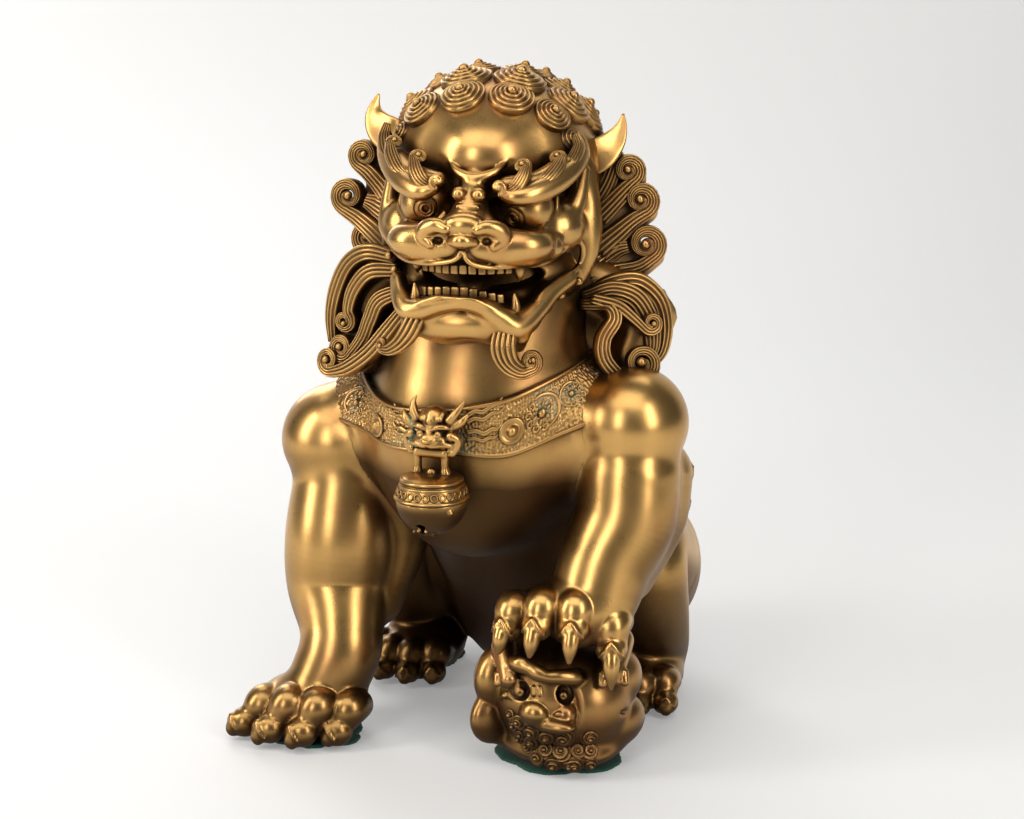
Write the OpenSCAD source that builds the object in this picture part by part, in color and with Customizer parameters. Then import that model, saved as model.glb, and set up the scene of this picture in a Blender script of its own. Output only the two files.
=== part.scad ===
// Seated guardian lion with a cub under its left forepaw: brazed hollow brass castings on felt pads.
// Millimetres, +Z up. The lion faces -Y and its left side is +X. The origin is on the table,
// under the middle of the figure.

/* [Body] */
// Distance between the two shoulder joints
shoulder_w = 208; // [174:1:250]
// Radius of the chest
chest_r = 76; // [70:0.5:92]
// Height of the chest's centre above the table
chest_z = 212; // [200:1:222]
// Height of the head's centre above the chest's centre
neck_h = 158; // [132:1:190]
// Turn of the head towards the lion's left, in degrees
head_turn = 12; // [0:1:20]
// Radius of the rump
rump_r = 68; // [57:1:76]
// Distance between the two hip joints
hip_w = 128; // [108:1:152]
// Wall of the hollow castings
wall = 3; // [2.4:0.1:4.5]

/* [Mouth] */
// Gap between the tips of the upper and lower teeth
mouth_gap = 5; // [4:0.5:8]
// Length of an upper or lower tooth
tooth_len = 6; // [4:0.5:8]

/* [Collar] */
// Width of the collar band
collar_w = 30; // [24:1:36]
// Height of the collar's relief above the chest
collar_t = 5; // [3:0.5:7]
// Tilt of the collar, low at the chest, in degrees
collar_tilt = 19; // [12:1:24]

/* [Bell] */
// Outer radius of the bell
bell_r = 23.5; // [19:0.5:28.5]
// Wall of the bell
bell_wall = 2.2; // [1.6:0.1:3]
// Diameter of the pin that the bell hangs from
pin_d = 4; // [3.2:0.1:5]
// Running gap between the pin and the yoke, on the radius
pin_gap = 0.08; // [0.05:0.01:0.1]
// Space between the hanging bell and the chest
bell_space = 2.4; // [1.8:0.2:6]

/* [Cub] */
// Half the width of the cub
cub_r = 54; // [45:0.5:62]

/* [Felt] */
// Thickness of the felt pads
felt_t = 2.5; // [1.5:0.1:4]

/* [Hidden] */

brass = "#b08a3e";
dark_brass = "#7a5a26";
felt_green = "#1e5a3c";
big_fn = 14;
small_fn = 8;
ring_fn = 5;
core_fn = 8;
bore_fn = 48;
far = 600;

// places that several castings share
shoulder_x = shoulder_w / 2;
hip_x = hip_w / 2;
chest = [0, -38, chest_z];
head_at = [11.5, -35, chest_z + neck_h];
rump = [0, 86, rump_r - 8];
right_paw = [-shoulder_x + 1, -98, 26];
left_paw = [shoulder_x - 20, -102, 110];
cub_at = [shoulder_x - 34, -72, 46];
hind_foot_x = hip_x + 22;

// the collar is an ellipse round the chest, tilted forwards
collar_at = [6, -34, chest_z + 45];
collar_rx = chest_r + 52;
collar_ry = chest_r + 24;
collar_depth = 60;

// the open mouth, in the head's own frame
upper_lip_z = -30;
opening = mouth_gap + 2 * tooth_len;
lower_lip_z = upper_lip_z - opening;
tooth_arch = 29;

// the bell hangs from a pin across the mask's mouth, clear of the chest
pin_r = pin_d / 2;
pin_z = chest_z + 7;
yoke_r = pin_r + pin_gap + 2;
yoke_w = 22;
strap_w = 3.4;
strap_t = 4;
cap_top = pin_z - 15;
cap_h = 5;
band_h = 10;
bowl_top = cap_top - cap_h - band_h;
bell_x = 6;
bell_y = chest.y - chest_r - bell_space - bell_r + 4.5;
pin_at = [bell_x, bell_y, pin_z];
// how far the mask stands before the pin, and reaches back from it into the collar
mask_front = 6;
mask_back = chest.y - chest_r - bell_y + 4.6;
pellet_r = 5;

// ------------------------------------------------------------------ helpers

// A ball given as [x, y, z, radius], grown by g all round
module ball(p, g = 0, fn = big_fn)
    translate([p[0], p[1], p[2]]) sphere(r = max(p[3] + g, 0.6), $fn = g < 0 ? core_fn : fn);

// A rounded limb through a list of balls
module limb(balls, g = 0, fn = big_fn)
    for (i = [0 : len(balls) - 2])
        hull() {
            ball(balls[i], g, fn);
            ball(balls[i + 1], g, fn);
        }

// A ball squashed to three radii
module pebble(at, radii, g = 0, fn = big_fn)
    translate(at) scale([radii.x + g, radii.y + g, radii.z + g])
        sphere(r = 1, $fn = g < 0 ? core_fn : fn);

// Everything below the height z
module below(z) translate([-far, -far, z - 2 * far]) cube(2 * far);

// A place in the head's own frame, in the whole figure's frame
function of_head(p) = [
    head_at.x + p.x * cos(head_turn) - p.y * sin(head_turn),
    head_at.y + p.x * sin(head_turn) + p.y * cos(head_turn),
    head_at.z + p.z];
function head_ball(x, y, z, r) = concat(of_head([x, y, z]), [r]);
module on_head() translate(head_at) rotate([0, 0, head_turn]) children();

// Balls along a flat spiral in a plane that faces -Y, from the outside in
function scroll(at, r, thick, turns = 1.3, hand = 1, start = 90) = [
    for (k = [0 : 8])
        let (t = k / 8, a = start + hand * 360 * turns * t, q = r * (1 - 0.85 * t))
            [at.x + q * cos(a), at.y - 0.35 * r * t, at.z + q * sin(a), thick * (1 - 0.45 * t)]];

// A snail curl: rings that step up to a point, its foot on the ground at the middle of at
module snail_curl(at, r, toward) {
    tip = at + toward * r * 0.75;
    hull() {
        ball(concat(tip, [r * 0.3]), 0, small_fn);
        ball(concat(at, [r]), 0, small_fn);
    }
}

// Four toes, each a knuckle, an end lobe and a claw, fanned round the front of a paw
module toes(at, w, len, drop, fn = small_fn)
    for (k = [0 : 3])
        let (s = (k - 1.5) / 1.5, x = at.x + s * w * 0.72, y = at.y - len * (1 - 0.28 * s * s))
            limb([[x, y + 12, at.z + 5, 13], [x + s * 4, y, at.z - drop * 0.35, 10.5],
                [x + s * 6, y - 9, at.z - drop, 3.2]], 0, fn);

// ------------------------------------------------------------------ outer forms

module torso_form(g = 0) {
    limb([[rump.x, rump.y + 4, rump.z, rump_r - 4], [0, 60, 110, rump_r + 4], [0, 22, 160, 74],
        concat(chest, [chest_r]), [3, -34, chest_z + 50, chest_r - 12],
        [7, -30, head_at.z - 62, 56], [10, -26, head_at.z - 34, 50]], g);
    limb([[0, 84, 100, 62], [0, 44, 190, 60], [4, 2, chest_z + 48, 56]], g);
    limb([[-shoulder_x * 0.62, -34, chest_z + 2, 44], [shoulder_x * 0.62, -38, chest_z + 6, 46]], g);
}

module right_foreleg_form(g = 0) {
    limb([[-shoulder_x, -42, chest_z - 12, 40], [-shoulder_x + 6, -44, 152, 38],
        [-shoulder_x + 6, -50, 116, 37], [-shoulder_x + 14, -72, 80, 29],
        [right_paw.x + 8, -84, 50, 27], [right_paw.x + 4, -92, 26, 27]], g);
    limb([[-shoulder_x + 26, -30, 160, 28], [-shoulder_x + 38, -34, 120, 22],
        [-shoulder_x + 26, -52, 84, 18]], g);
    pebble([right_paw.x, right_paw.y, 22], [38, 34, 20], g);
}

module left_foreleg_form(g = 0) {
    limb([[shoulder_x + 4, -48, chest_z + 18, 38], [shoulder_x + 10, -56, 190, 34],
        [shoulder_x + 4, -66, 162, 31], [left_paw.x + 12, -82, 132, 28],
        [left_paw.x + 2, -92, 112, 26]], g);
    limb([[shoulder_x + 2, -22, 190, 28], [shoulder_x + 14, -34, 160, 22],
        [shoulder_x, -62, 130, 20], [left_paw.x + 8, -80, 108, 20]], g);
    pebble([left_paw.x, left_paw.y + 4, 110], [38, 27, 18], g);
}

module hind_leg_form(side, g = 0) {
    limb([[side * hip_x, 92, 92, 46], [side * (hip_x + 14), 66, 106, 42],
        [side * (hip_x + 22), 42, 114, 34], [side * (hip_x + 24), 50, 74, 28],
        [side * hind_foot_x, 82, 30, 24], [side * hind_foot_x, 60, 22, 24]], g);
    pebble([side * hind_foot_x, 52, 18], [31, 34, 18], g);
}

module skull_form(g = 0) on_head() {
    limb([[0, 10, 14, 62], [0, -22, 16, 56], [0, -52, 22, 40], [0, -86, 0, 22]], g);
    limb([[-42, 0, -6, 24], [-40, -34, -8, 24], [-28, -70, -13, 22], [0, -90, -12, 22],
        [28, -70, -13, 22], [40, -34, -8, 24], [42, 0, -6, 24]], g);
    limb([[0, 6, -26, 46], [0, 6, -44, 44]], g);
}

// The space of the open mouth
module mouth_space() on_head()
    hull() {
        translate([-46, -140, lower_lip_z]) cube([92, 100, opening]);
        translate([-52, -36, upper_lip_z - opening / 2]) cube([104, 4, opening / 2]);
    }

module jaw_form(g = 0) on_head() {
    floor_z = lower_lip_z;
    limb([[-50, -14, -36, 14], [-44, -48, floor_z, 12], [-30, -84, floor_z - 12, 12],
        [0, -92, floor_z - 6, 10], [30, -84, floor_z - 12, 12], [44, -48, floor_z, 12],
        [50, -14, -36, 14]], g, small_fn);
    limb([[-24, -60, floor_z - 8, 16], [24, -60, floor_z - 8, 16]], g, small_fn);
    limb([[-20, -30, floor_z - 12, 20], [20, -30, floor_z - 12, 20]], g, small_fn);
}

// The collar band's ring, grown by g in thickness and width
module collar_form(g = 0)
    translate(collar_at) rotate([collar_tilt, 0, 0])
        scale([collar_rx / collar_ry, 1, 1])
            rotate_extrude($fn = 36)
                translate([collar_ry - collar_depth - g, -collar_w / 2 - g])
                    square([collar_depth + 2 * g, collar_w + 2 * g]);

module mask_form(g = 0) translate(pin_at) {
    pebble([0, (mask_back - mask_front) / 2, 12], [18, (mask_back + mask_front) / 2, 14], g, small_fn);
    limb([[-13, 4, 20, 5], [-17, 4, 28, 3], [-20, 6, 34, 1.5]], g, small_fn);
    limb([[13, 4, 20, 5], [17, 4, 28, 3], [20, 6, 34, 1.5]], g, small_fn);
    limb([[-8, -2, 14, 5], [0, -6, 10, 5], [8, -2, 14, 5]], g, small_fn);
    limb([[-yoke_w / 2 - 4, 2, 8, 5], [-yoke_w / 2 - 4, 1, 0, 4.5]], g, small_fn);
    limb([[yoke_w / 2 + 4, 2, 8, 5], [yoke_w / 2 + 4, 1, 0, 4.5]], g, small_fn);
}

module cub_form(g = 0) {
    pebble(cub_at, [cub_r, 44, 47], g);
    limb([[cub_at.x - 30, -84, 30, 24], [cub_at.x, -92, 26, 26], [cub_at.x + 30, -80, 32, 26]], g);
    limb([[cub_at.x + 42, -86, 62, 14], [cub_at.x + 38, -100, 68, 9]], g, small_fn);
    limb([[cub_at.x - 44, -78, 60, 12], [cub_at.x - 40, -92, 66, 8]], g, small_fn);
}

module cub_head_form(g = 0) {
    pebble([cub_at.x, -98, 46], [34, 24, 34], g, small_fn);
    limb([[cub_at.x - 20, -112, 62, 9], [cub_at.x, -118, 60, 10], [cub_at.x + 20, -112, 62, 9]],
        g, small_fn);
    for (k = [0 : 5])
        let (a = 200 + k * 28)
            limb([[cub_at.x + 30 * cos(a), -106, 46 + 30 * sin(a), 8],
                [cub_at.x + 30 * cos(a), -114, 46 + 30 * sin(a), 4]], g, small_fn);
    for (side = [-1, 1])
        limb([[cub_at.x + side * 30, -104, 40, 7], [cub_at.x + side * 40, -106, 36, 4]], g, small_fn);
}

// ------------------------------------------------------------------ castings

module torso()
    color(brass)
        difference() {
            torso_form();
            torso_form(-wall);
            below(felt_t);
            // core hole under the rump, closed by the felt
            translate([0, rump.y, 0]) cylinder(r = rump_r / 4, h = rump_r / 2, $fn = 24);
        }

module right_foreleg()
    color(brass)
        difference() {
            union() {
                right_foreleg_form();
                toes(right_paw, 44, 32, 16);
            }
            right_foreleg_form(-wall);
            torso_form();
            below(felt_t);
        }

module left_foreleg()
    color(brass)
        difference() {
            union() {
                left_foreleg_form();
                toes(left_paw, 44, 22, 18);
            }
            left_foreleg_form(-wall);
            torso_form();
        }

module hind_leg(side)
    color(brass)
        difference() {
            union() {
                hind_leg_form(side);
                toes([side * hind_foot_x, 52, 16], 36, 32, 10);
            }
            hind_leg_form(side, -wall);
            torso_form();
            below(felt_t);
        }

module right_hind_leg() hind_leg(-1);

module left_hind_leg() hind_leg(1);

module head()
    color(brass)
        difference() {
            skull_form();
            // the core stops above the roof of the mouth
            difference() {
                skull_form(-wall);
                on_head() below(upper_lip_z + wall);
            }
            torso_form();
            mouth_space();
            jaw_form();
            for (side = [-1, 1]) eye_form(side);
        }

module lower_jaw()
    color(brass)
        difference() {
            jaw_form();
            torso_form();
            mouth_space();
        }

module tongue()
    color(dark_brass)
        difference() {
            on_head()
                for (k = [0 : 7])
                    let (y = -47 - 3.6 * k, w = 9 - 0.7 * k, z = lower_lip_z - 1)
                        limb([[-w, y, z, 7], [w, y, z, 7]], 0, small_fn);
            on_head() below(lower_lip_z);
            torso_form();
        }

// Teeth round an arch from the height z; the pair at long_k are the canines
module tooth_row(z, up, reach, long_k) on_head()
    for (k = [-5 : 5])
        let (a = k * 15, len = tooth_len * (abs(k) == long_k ? 1.4 : 1))
            translate([tooth_arch * sin(a), -38 - reach * cos(a), z])
                mirror([0, 0, up ? 0 : 1])
                    hull() {
                        translate([-2.8, -2, 0]) cube([5.6, 4, len * 0.4]);
                        translate([-1.4, -1, 0]) cube([2.8, 2, len]);
                    }

module upper_teeth() color(brass) tooth_row(upper_lip_z, false, 48, 5);

module lower_teeth() color(brass) tooth_row(lower_lip_z, true, 50, 4);

module eye_form(side) on_head() {
    pebble([side * 29, -72, 3], [15, 14, 11], 0, big_fn);
    for (k = [0 : 7])
        let (a = k * 45)
            hull() {
                ball([side * 28 + 6 * cos(a), -85, 1 + 6 * sin(a), 1.6], 0, ring_fn);
                ball([side * 28 + 6 * cos(a + 45), -85, 1 + 6 * sin(a + 45), 1.6], 0, ring_fn);
            }
}

module eye(side) color(brass) eye_form(side);

module right_eye() eye(-1);

module left_eye() eye(1);

module brow_form(side, g = 0) on_head()
    limb([[side * 14, -96, 14, 5], [side * 18, -95, 18, 6], [side * 26, -90, 22, 7],
        [side * 36, -80, 24, 8], [side * 46, -66, 28, 8], [side * 54, -52, 34, 7],
        [side * 58, -40, 42, 6], [side * 56, -34, 50, 5], [side * 50, -34, 54, 4]], g, small_fn);

module brow(side)
    color(brass)
        difference() {
            brow_form(side);
            skull_form();
            eye_form(side);
        }

module right_brow() brow(-1);

module left_brow() brow(1);

module ear_form(side, g = 0) on_head()
    limb([[side * 58, -8, 14, 10], [side * 62, -6, 20, 11], [side * 66, -4, 27, 11],
        [side * 70, -2, 34, 10], [side * 73, 0, 41, 8.5], [side * 76, 2, 47, 6.5],
        [side * 78, 3, 52, 4.5], [side * 79.5, 4, 57, 2.8], [side * 80.5, 5, 61, 1.5]], g, small_fn);

module ear(side)
    color(brass)
        difference() {
            ear_form(side);
            skull_form();
        }

module right_ear() ear(-1);

module left_ear() ear(1);

// Snail curls in rows over the crown, from the forehead back
module crown_form() on_head()
    for (row = [0 : 3])
        let (tilt = -34 + row * 32)
            for (k = [0 : 4])
                let (spread = -60 + k * 30 + (row % 2) * 6,
                     d = [sin(spread), cos(spread) * sin(tilt), cos(spread) * cos(tilt)])
                    snail_curl([0, 2, 14] + d * 62, 15.5, d);

module crown_curls()
    color(brass)
        difference() {
            crown_form();
            skull_form();
            for (side = [-1, 1]) {
                ear_form(side);
                brow_form(side);
            }
        }

module side_scroll_form(side, g = 0) {
    limb([for (b = scroll([side * 84, 22, 12], 11, 7, 1.2, side)) head_ball(b.x, b.y, b.z, b[3])], g,
        small_fn);
    limb([for (b = scroll([side * 92, 22, -18], 12, 8, 1.2, side)) head_ball(b.x, b.y, b.z, b[3])], g,
        small_fn);
    limb([head_ball(side * 60, 20, 14, 14), head_ball(side * 72, 22, 0, 14),
        head_ball(side * 78, 22, -30, 13), head_ball(side * 66, 18, -46, 14)], g, small_fn);
}

module side_scrolls(side)
    color(brass)
        difference() {
            side_scroll_form(side);
            skull_form();
            torso_form();
            ear_form(side);
            crown_form();
        }

module right_side_scrolls() side_scrolls(-1);

module left_side_scrolls() side_scrolls(1);

// Bundle of long locks beside the jaw, ending in two scrolls on the shoulder
module mane_lock_form(side, g = 0) {
    end_z = chest_z + (side > 0 ? 60 : 48);
    limb([head_ball(side * 58, 6, -36, 18), [side * 94, -16, head_at.z - 58, 22],
        [side * 104, -20, head_at.z - 78, 20], [side * 104, -26, end_z + 12, 15]], g, small_fn);
    limb([for (b = scroll([side * 104, -34, end_z], 9, 7, 1.1, side)) b], g, small_fn);
    limb([head_ball(side * 50, 4, -50, 16), [side * 82, -26, head_at.z - 78, 15],
        [side * 92, -36, end_z + 14, 10]], g, small_fn);
}

module mane_lock(side)
    color(brass)
        difference() {
            mane_lock_form(side);
            torso_form();
            skull_form();
            jaw_form();
            side_scroll_form(side);
            collar_form();
            if (side > 0) left_foreleg_form(); else right_foreleg_form();
        }

module right_mane_lock() mane_lock(-1);

module left_mane_lock() mane_lock(1);

// Rows of curls over the back of the neck
module back_mane_form()
    for (row = [0 : 2])
        for (k = [-2 : 2])
            let (a = k * 26 + (row % 2) * 8, z = 0 - row * neck_h / 4, r = 60 + row * 4)
                hull() {
                    ball(head_ball(r * sin(a), 6 + r * cos(a), z, 20), 0, small_fn);
                    ball(head_ball(0.6 * r * sin(a), 0.7 * r * cos(a), z - 10, 27), 0, small_fn);
                }

module back_mane()
    color(brass)
        difference() {
            back_mane_form();
            torso_form();
            skull_form();
            crown_form();
            collar_form();
            for (side = [-1, 1]) {
                side_scroll_form(side);
                mane_lock_form(side);
            }
        }

module beard_tuft_form(side, g = 0) {
    z = lower_lip_z - 12;
    limb([head_ball(side * 24, -84, z - 6, 8), head_ball(side * 25, -86, z - 13, 8),
        head_ball(side * 28, -87, z - 19, 7), head_ball(side * 32, -87, z - 24, 6),
        head_ball(side * 38, -87, z - 28, 5.5), head_ball(side * 44, -86, z - 30, 5),
        head_ball(side * 49, -85, z - 28, 4.5), head_ball(side * 52, -85, z - 23, 4),
        head_ball(side * 48, -85, z - 20, 3)], g, small_fn);
}

module beard_tuft(side)
    color(brass)
        difference() {
            beard_tuft_form(side);
            jaw_form();
            torso_form();
        }

module right_beard_tuft() beard_tuft(-1);

module left_beard_tuft() beard_tuft(1);

module shoulder_curls()
    color(brass)
        difference() {
            for (side = [-1, 1])
                limb(scroll([side * (shoulder_x + 16), 0, chest_z + (side > 0 ? 30 : 12)], 14, 10,
                    1.2, side), 0, small_fn);
            torso_form();
            right_foreleg_form();
            left_foreleg_form();
            collar_form();
            for (side = [-1, 1]) mane_lock_form(side);
        }

// Hair curls up the back edge of each foreleg
module foreleg_curls()
    color(brass)
        difference() {
            for (k = [0 : 3]) {
                limb(scroll([shoulder_x + 26 - k * 6, -22 - k * 8, 180 - k * 24], 8, 6, 1.1, 1), 0,
                    small_fn);
                limb(scroll([-shoulder_x + 6, -6 - k * 12, 168 - k * 26], 8, 7, 1.1, -1), 0,
                    small_fn);
            }
            torso_form();
            right_foreleg_form();
            left_foreleg_form();
        }

// Flame-shaped tail lying up the back
module tail()
    color(brass)
        difference() {
            union() {
                limb([[0, 134, 34, 15], [0, 142, 64, 16], [0, 138, 100, 19], [0, 122, 140, 21],
                    [0, 100, 178, 17], [0, 84, 210, 9], [0, 80, 226, 3]]);
                for (side = [-1, 1])
                    limb([for (b = scroll([side * 20, 128, 104], 15, 8, 1.1, side))
                        [b.x, b.y + 8, b.z, b[3]]], 0, small_fn);
            }
            torso_form();
            below(felt_t);
        }

// ------------------------------------------------------------------ collar

module collar_band()
    color(brass)
        difference() {
            intersection() {
                collar_form();
                torso_form(collar_t);
            }
            torso_form();
            mask_form();
            right_foreleg_form();
            left_foreleg_form();
        }

module collar_mask()
    color(brass)
        difference() {
            mask_form();
            torso_form();
            // mouth slot for the yoke, and the seats of the pin
            translate(pin_at + [-yoke_w / 2 - 0.4, -20, -20])
                cube([yoke_w + 0.8, 20 + yoke_r + 1, 20 + yoke_r + 1]);
            translate(pin_at) rotate([0, 90, 0])
                cylinder(r = pin_r + 0.05, h = pin_length(), center = true, $fn = bore_fn);
        }

function pin_length() = yoke_w + 8;

// Round bosses on the band at the given angles from its front
module relief(angles, r)
    difference() {
        intersection() {
            for (a = angles)
                translate(collar_at) rotate([collar_tilt, 0, a])
                    rotate([90, 0, 0])
                        cylinder(r = r, h = collar_rx + r, $fn = 16);
            torso_form(collar_t + 3.5);
        }
        torso_form(collar_t);
        right_foreleg_form();
        left_foreleg_form();
        mask_form();
    }

module collar_bosses() color(brass) relief([-38, 30], 8);

module collar_medallions() color(brass) relief([-60, 48, 66], 11);

// ------------------------------------------------------------------ cub

module cub_body()
    color(brass)
        difference() {
            cub_form();
            cub_form(-wall);
            cub_head_form();
            paw_solid();
            below(felt_t);
        }

module cub_head()
    color(brass)
        difference() {
            cub_head_form();
            paw_solid();
            below(felt_t);
        }

module paw_solid() {
    left_foreleg_form();
    toes(left_paw, 44, 22, 18);
}

// ------------------------------------------------------------------ felt

// A pad cut to the foot of a casting
module pad(places, r)
    color(felt_green)
        linear_extrude(felt_t)
            hull()
                for (p = places)
                    translate(p) circle(r = r, $fn = 40);

module right_forepaw_felt()
    pad([[right_paw.x - 24, -104], [right_paw.x, -112], [right_paw.x + 14, -82]], 17);

module cub_felt() pad([[cub_at.x - 18, -76], [cub_at.x + 18, -72], [cub_at.x, -84]], 26);

module right_hind_felt() pad([[-hind_foot_x, 40], [-hind_foot_x, 78]], 22);

module left_hind_felt() pad([[hind_foot_x, 40], [hind_foot_x, 78]], 22);

module rump_felt() pad([[0, rump.y], [0, rump.y + 4]], rump_r / 2);

// ------------------------------------------------------------------ bell

module bell_pin()
    color(dark_brass)
        translate(pin_at) rotate([0, 90, 0])
            cylinder(r = pin_r, h = pin_length(), center = true, $fn = bore_fn);

module bell_yoke()
    color(brass)
        translate(pin_at)
            difference() {
                union() {
                    rotate([0, 90, 0])
                        cylinder(r = yoke_r, h = yoke_w, center = true, $fn = bore_fn);
                    for (side = [-1, 1])
                        translate([side * (yoke_w - strap_w) / 2 - strap_w / 2, -strap_t / 2,
                            cap_top - pin_z])
                            cube([strap_w, strap_t, pin_z - cap_top]);
                }
                rotate([0, 90, 0])
                    cylinder(r = pin_r + pin_gap, h = yoke_w + 2, center = true, $fn = bore_fn);
            }

module bell_cap()
    color(brass)
        translate([bell_x, bell_y, cap_top - cap_h]) {
            rotate_extrude($fn = bore_fn)
                polygon([[0, 0], [bell_r - 1, 0], [bell_r - 1, 1.6], [bell_r - 4, 2.4],
                    [bell_r - 7, cap_h], [0, cap_h]]);
            translate([0, 0, cap_h + 1]) sphere(r = 3.6, $fn = bore_fn);
        }

module bell_band()
    color(brass)
        translate([bell_x, bell_y, bowl_top])
            rotate_extrude($fn = bore_fn)
                polygon([[bell_r - bell_wall - 1, 0], [bell_r, 0], [bell_r, 1.5],
                    [bell_r - 1, 2.5], [bell_r - 1, band_h - 2.5], [bell_r, band_h - 1.5],
                    [bell_r, band_h], [bell_r - bell_wall - 1, band_h]]);

module bell_bowl()
    color(brass)
        translate([bell_x, bell_y, bowl_top])
            difference() {
                sphere(r = bell_r, $fn = bore_fn);
                sphere(r = bell_r - bell_wall, $fn = bore_fn);
                cylinder(r = 2 * bell_r, h = 2 * bell_r, $fn = bore_fn);
                // sound slot across the bottom
                translate([-bell_r * 0.6, -1.5, -2 * bell_r]) cube([bell_r * 1.2, 3, 1.6 * bell_r]);
            }

module bell_pellet()
    color(dark_brass)
        translate([bell_x, bell_y, bowl_top - bell_r + bell_wall + pellet_r + 0.1])
            sphere(r = pellet_r, $fn = bore_fn);

torso();
right_foreleg();
left_foreleg();
right_hind_leg();
left_hind_leg();
head();
lower_jaw();
tongue();
upper_teeth();
lower_teeth();
right_eye();
left_eye();
right_ear();
left_ear();
right_brow();
left_brow();
crown_curls();
right_side_scrolls();
left_side_scrolls();
right_mane_lock();
left_mane_lock();
back_mane();
right_beard_tuft();
left_beard_tuft();
shoulder_curls();
foreleg_curls();
tail();
collar_band();
collar_mask();
collar_bosses();
collar_medallions();
cub_body();
cub_head();
right_forepaw_felt();
cub_felt();
right_hind_felt();
left_hind_felt();
rump_felt();
bell_pin();
bell_yoke();
bell_cap();
bell_band();
bell_bowl();
bell_pellet();
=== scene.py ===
import math
import random

import bpy
import numpy as np
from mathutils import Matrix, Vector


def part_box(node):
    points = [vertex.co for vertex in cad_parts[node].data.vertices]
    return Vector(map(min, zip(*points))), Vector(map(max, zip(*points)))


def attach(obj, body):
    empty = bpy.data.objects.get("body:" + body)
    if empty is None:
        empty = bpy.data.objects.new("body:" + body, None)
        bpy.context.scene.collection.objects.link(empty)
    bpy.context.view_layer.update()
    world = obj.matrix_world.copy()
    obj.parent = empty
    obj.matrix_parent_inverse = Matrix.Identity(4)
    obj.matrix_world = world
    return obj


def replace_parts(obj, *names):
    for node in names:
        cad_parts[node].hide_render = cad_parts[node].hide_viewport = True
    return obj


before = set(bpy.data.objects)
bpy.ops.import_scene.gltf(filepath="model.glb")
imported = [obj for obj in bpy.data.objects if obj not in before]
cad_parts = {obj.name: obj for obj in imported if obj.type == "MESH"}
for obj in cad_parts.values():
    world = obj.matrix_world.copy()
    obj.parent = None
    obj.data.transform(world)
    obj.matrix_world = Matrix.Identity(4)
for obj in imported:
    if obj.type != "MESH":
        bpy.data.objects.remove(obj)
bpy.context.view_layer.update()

import openvdb
from mathutils import Matrix, Vector

# Work is laid out in millimetres and turned to metres when a mesh is made.
mm = 0.001
coarse = 1.0


# The figure's main places, read from the frame.

def boxMid(node):
    low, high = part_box(node)
    return (np.array(low) + np.array(high)) / 2 / mm


bellMid = boxMid("bell_pin")
headTurn = math.radians(12)
headAt = np.array([11.5, -35.0, 370.0])


def ofHead(p):
    # a place in the head's own frame, in the figure's frame
    c, s = math.cos(headTurn), math.sin(headTurn)
    return headAt + np.array([p[0] * c - p[1] * s, p[0] * s + p[1] * c, p[2]])


def headDir(v):
    c, s = math.cos(headTurn), math.sin(headTurn)
    return np.array([v[0] * c - v[1] * s, v[0] * s + v[1] * c, v[2]])


# Clay: soft forms pressed together on a grid, then skinned.
farOff = 40.0  # a field's value away from any clay
seamGap = 0.3

class Grid:
    def __init__(self, low, high, step):
        self.step = step * coarse
        self.low = np.array(low, dtype=np.float64)
        self.count = np.ceil((np.array(high) - self.low) / self.step).astype(int) + 1

    def window(self, low, high):
        # the part of the grid between two corners, as slices and open coordinate arrays
        a = np.clip(np.floor((np.array(low) - self.low) / self.step).astype(int), 0, self.count)
        b = np.clip(np.ceil((np.array(high) - self.low) / self.step).astype(int) + 1, 0, self.count)
        axes = [(self.low[i] + self.step * np.arange(a[i], b[i])).astype(np.float32) for i in range(3)]
        return tuple(slice(a[i], b[i]) for i in range(3)), (
            axes[0][:, None, None], axes[1][None, :, None], axes[2][None, None, :])

    def sample(self, field, points):
        # trilinear value of a field at points
        q = (points - self.low) / self.step
        q = np.clip(q, 0, self.count - 1.001)
        i = q.astype(int)
        f = q - i
        value = np.zeros(len(points))
        for corner in range(8):
            o = [(corner >> k) & 1 for k in range(3)]
            weight = np.ones(len(points))
            for k in range(3):
                weight = weight * (f[:, k] if o[k] else 1 - f[:, k])
            value += weight * field[i[:, 0] + o[0], i[:, 1] + o[1], i[:, 2] + o[2]]
        return value


def meld(a, b, soft):
    # union of two fields with a soft fillet
    if soft <= 0:
        return np.minimum(a, b)
    h = np.maximum(soft - np.abs(a - b), 0) / soft
    return np.minimum(a, b) - h * h * soft * 0.25


def carve(a, b, soft):
    return -meld(-a, b, soft)


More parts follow.
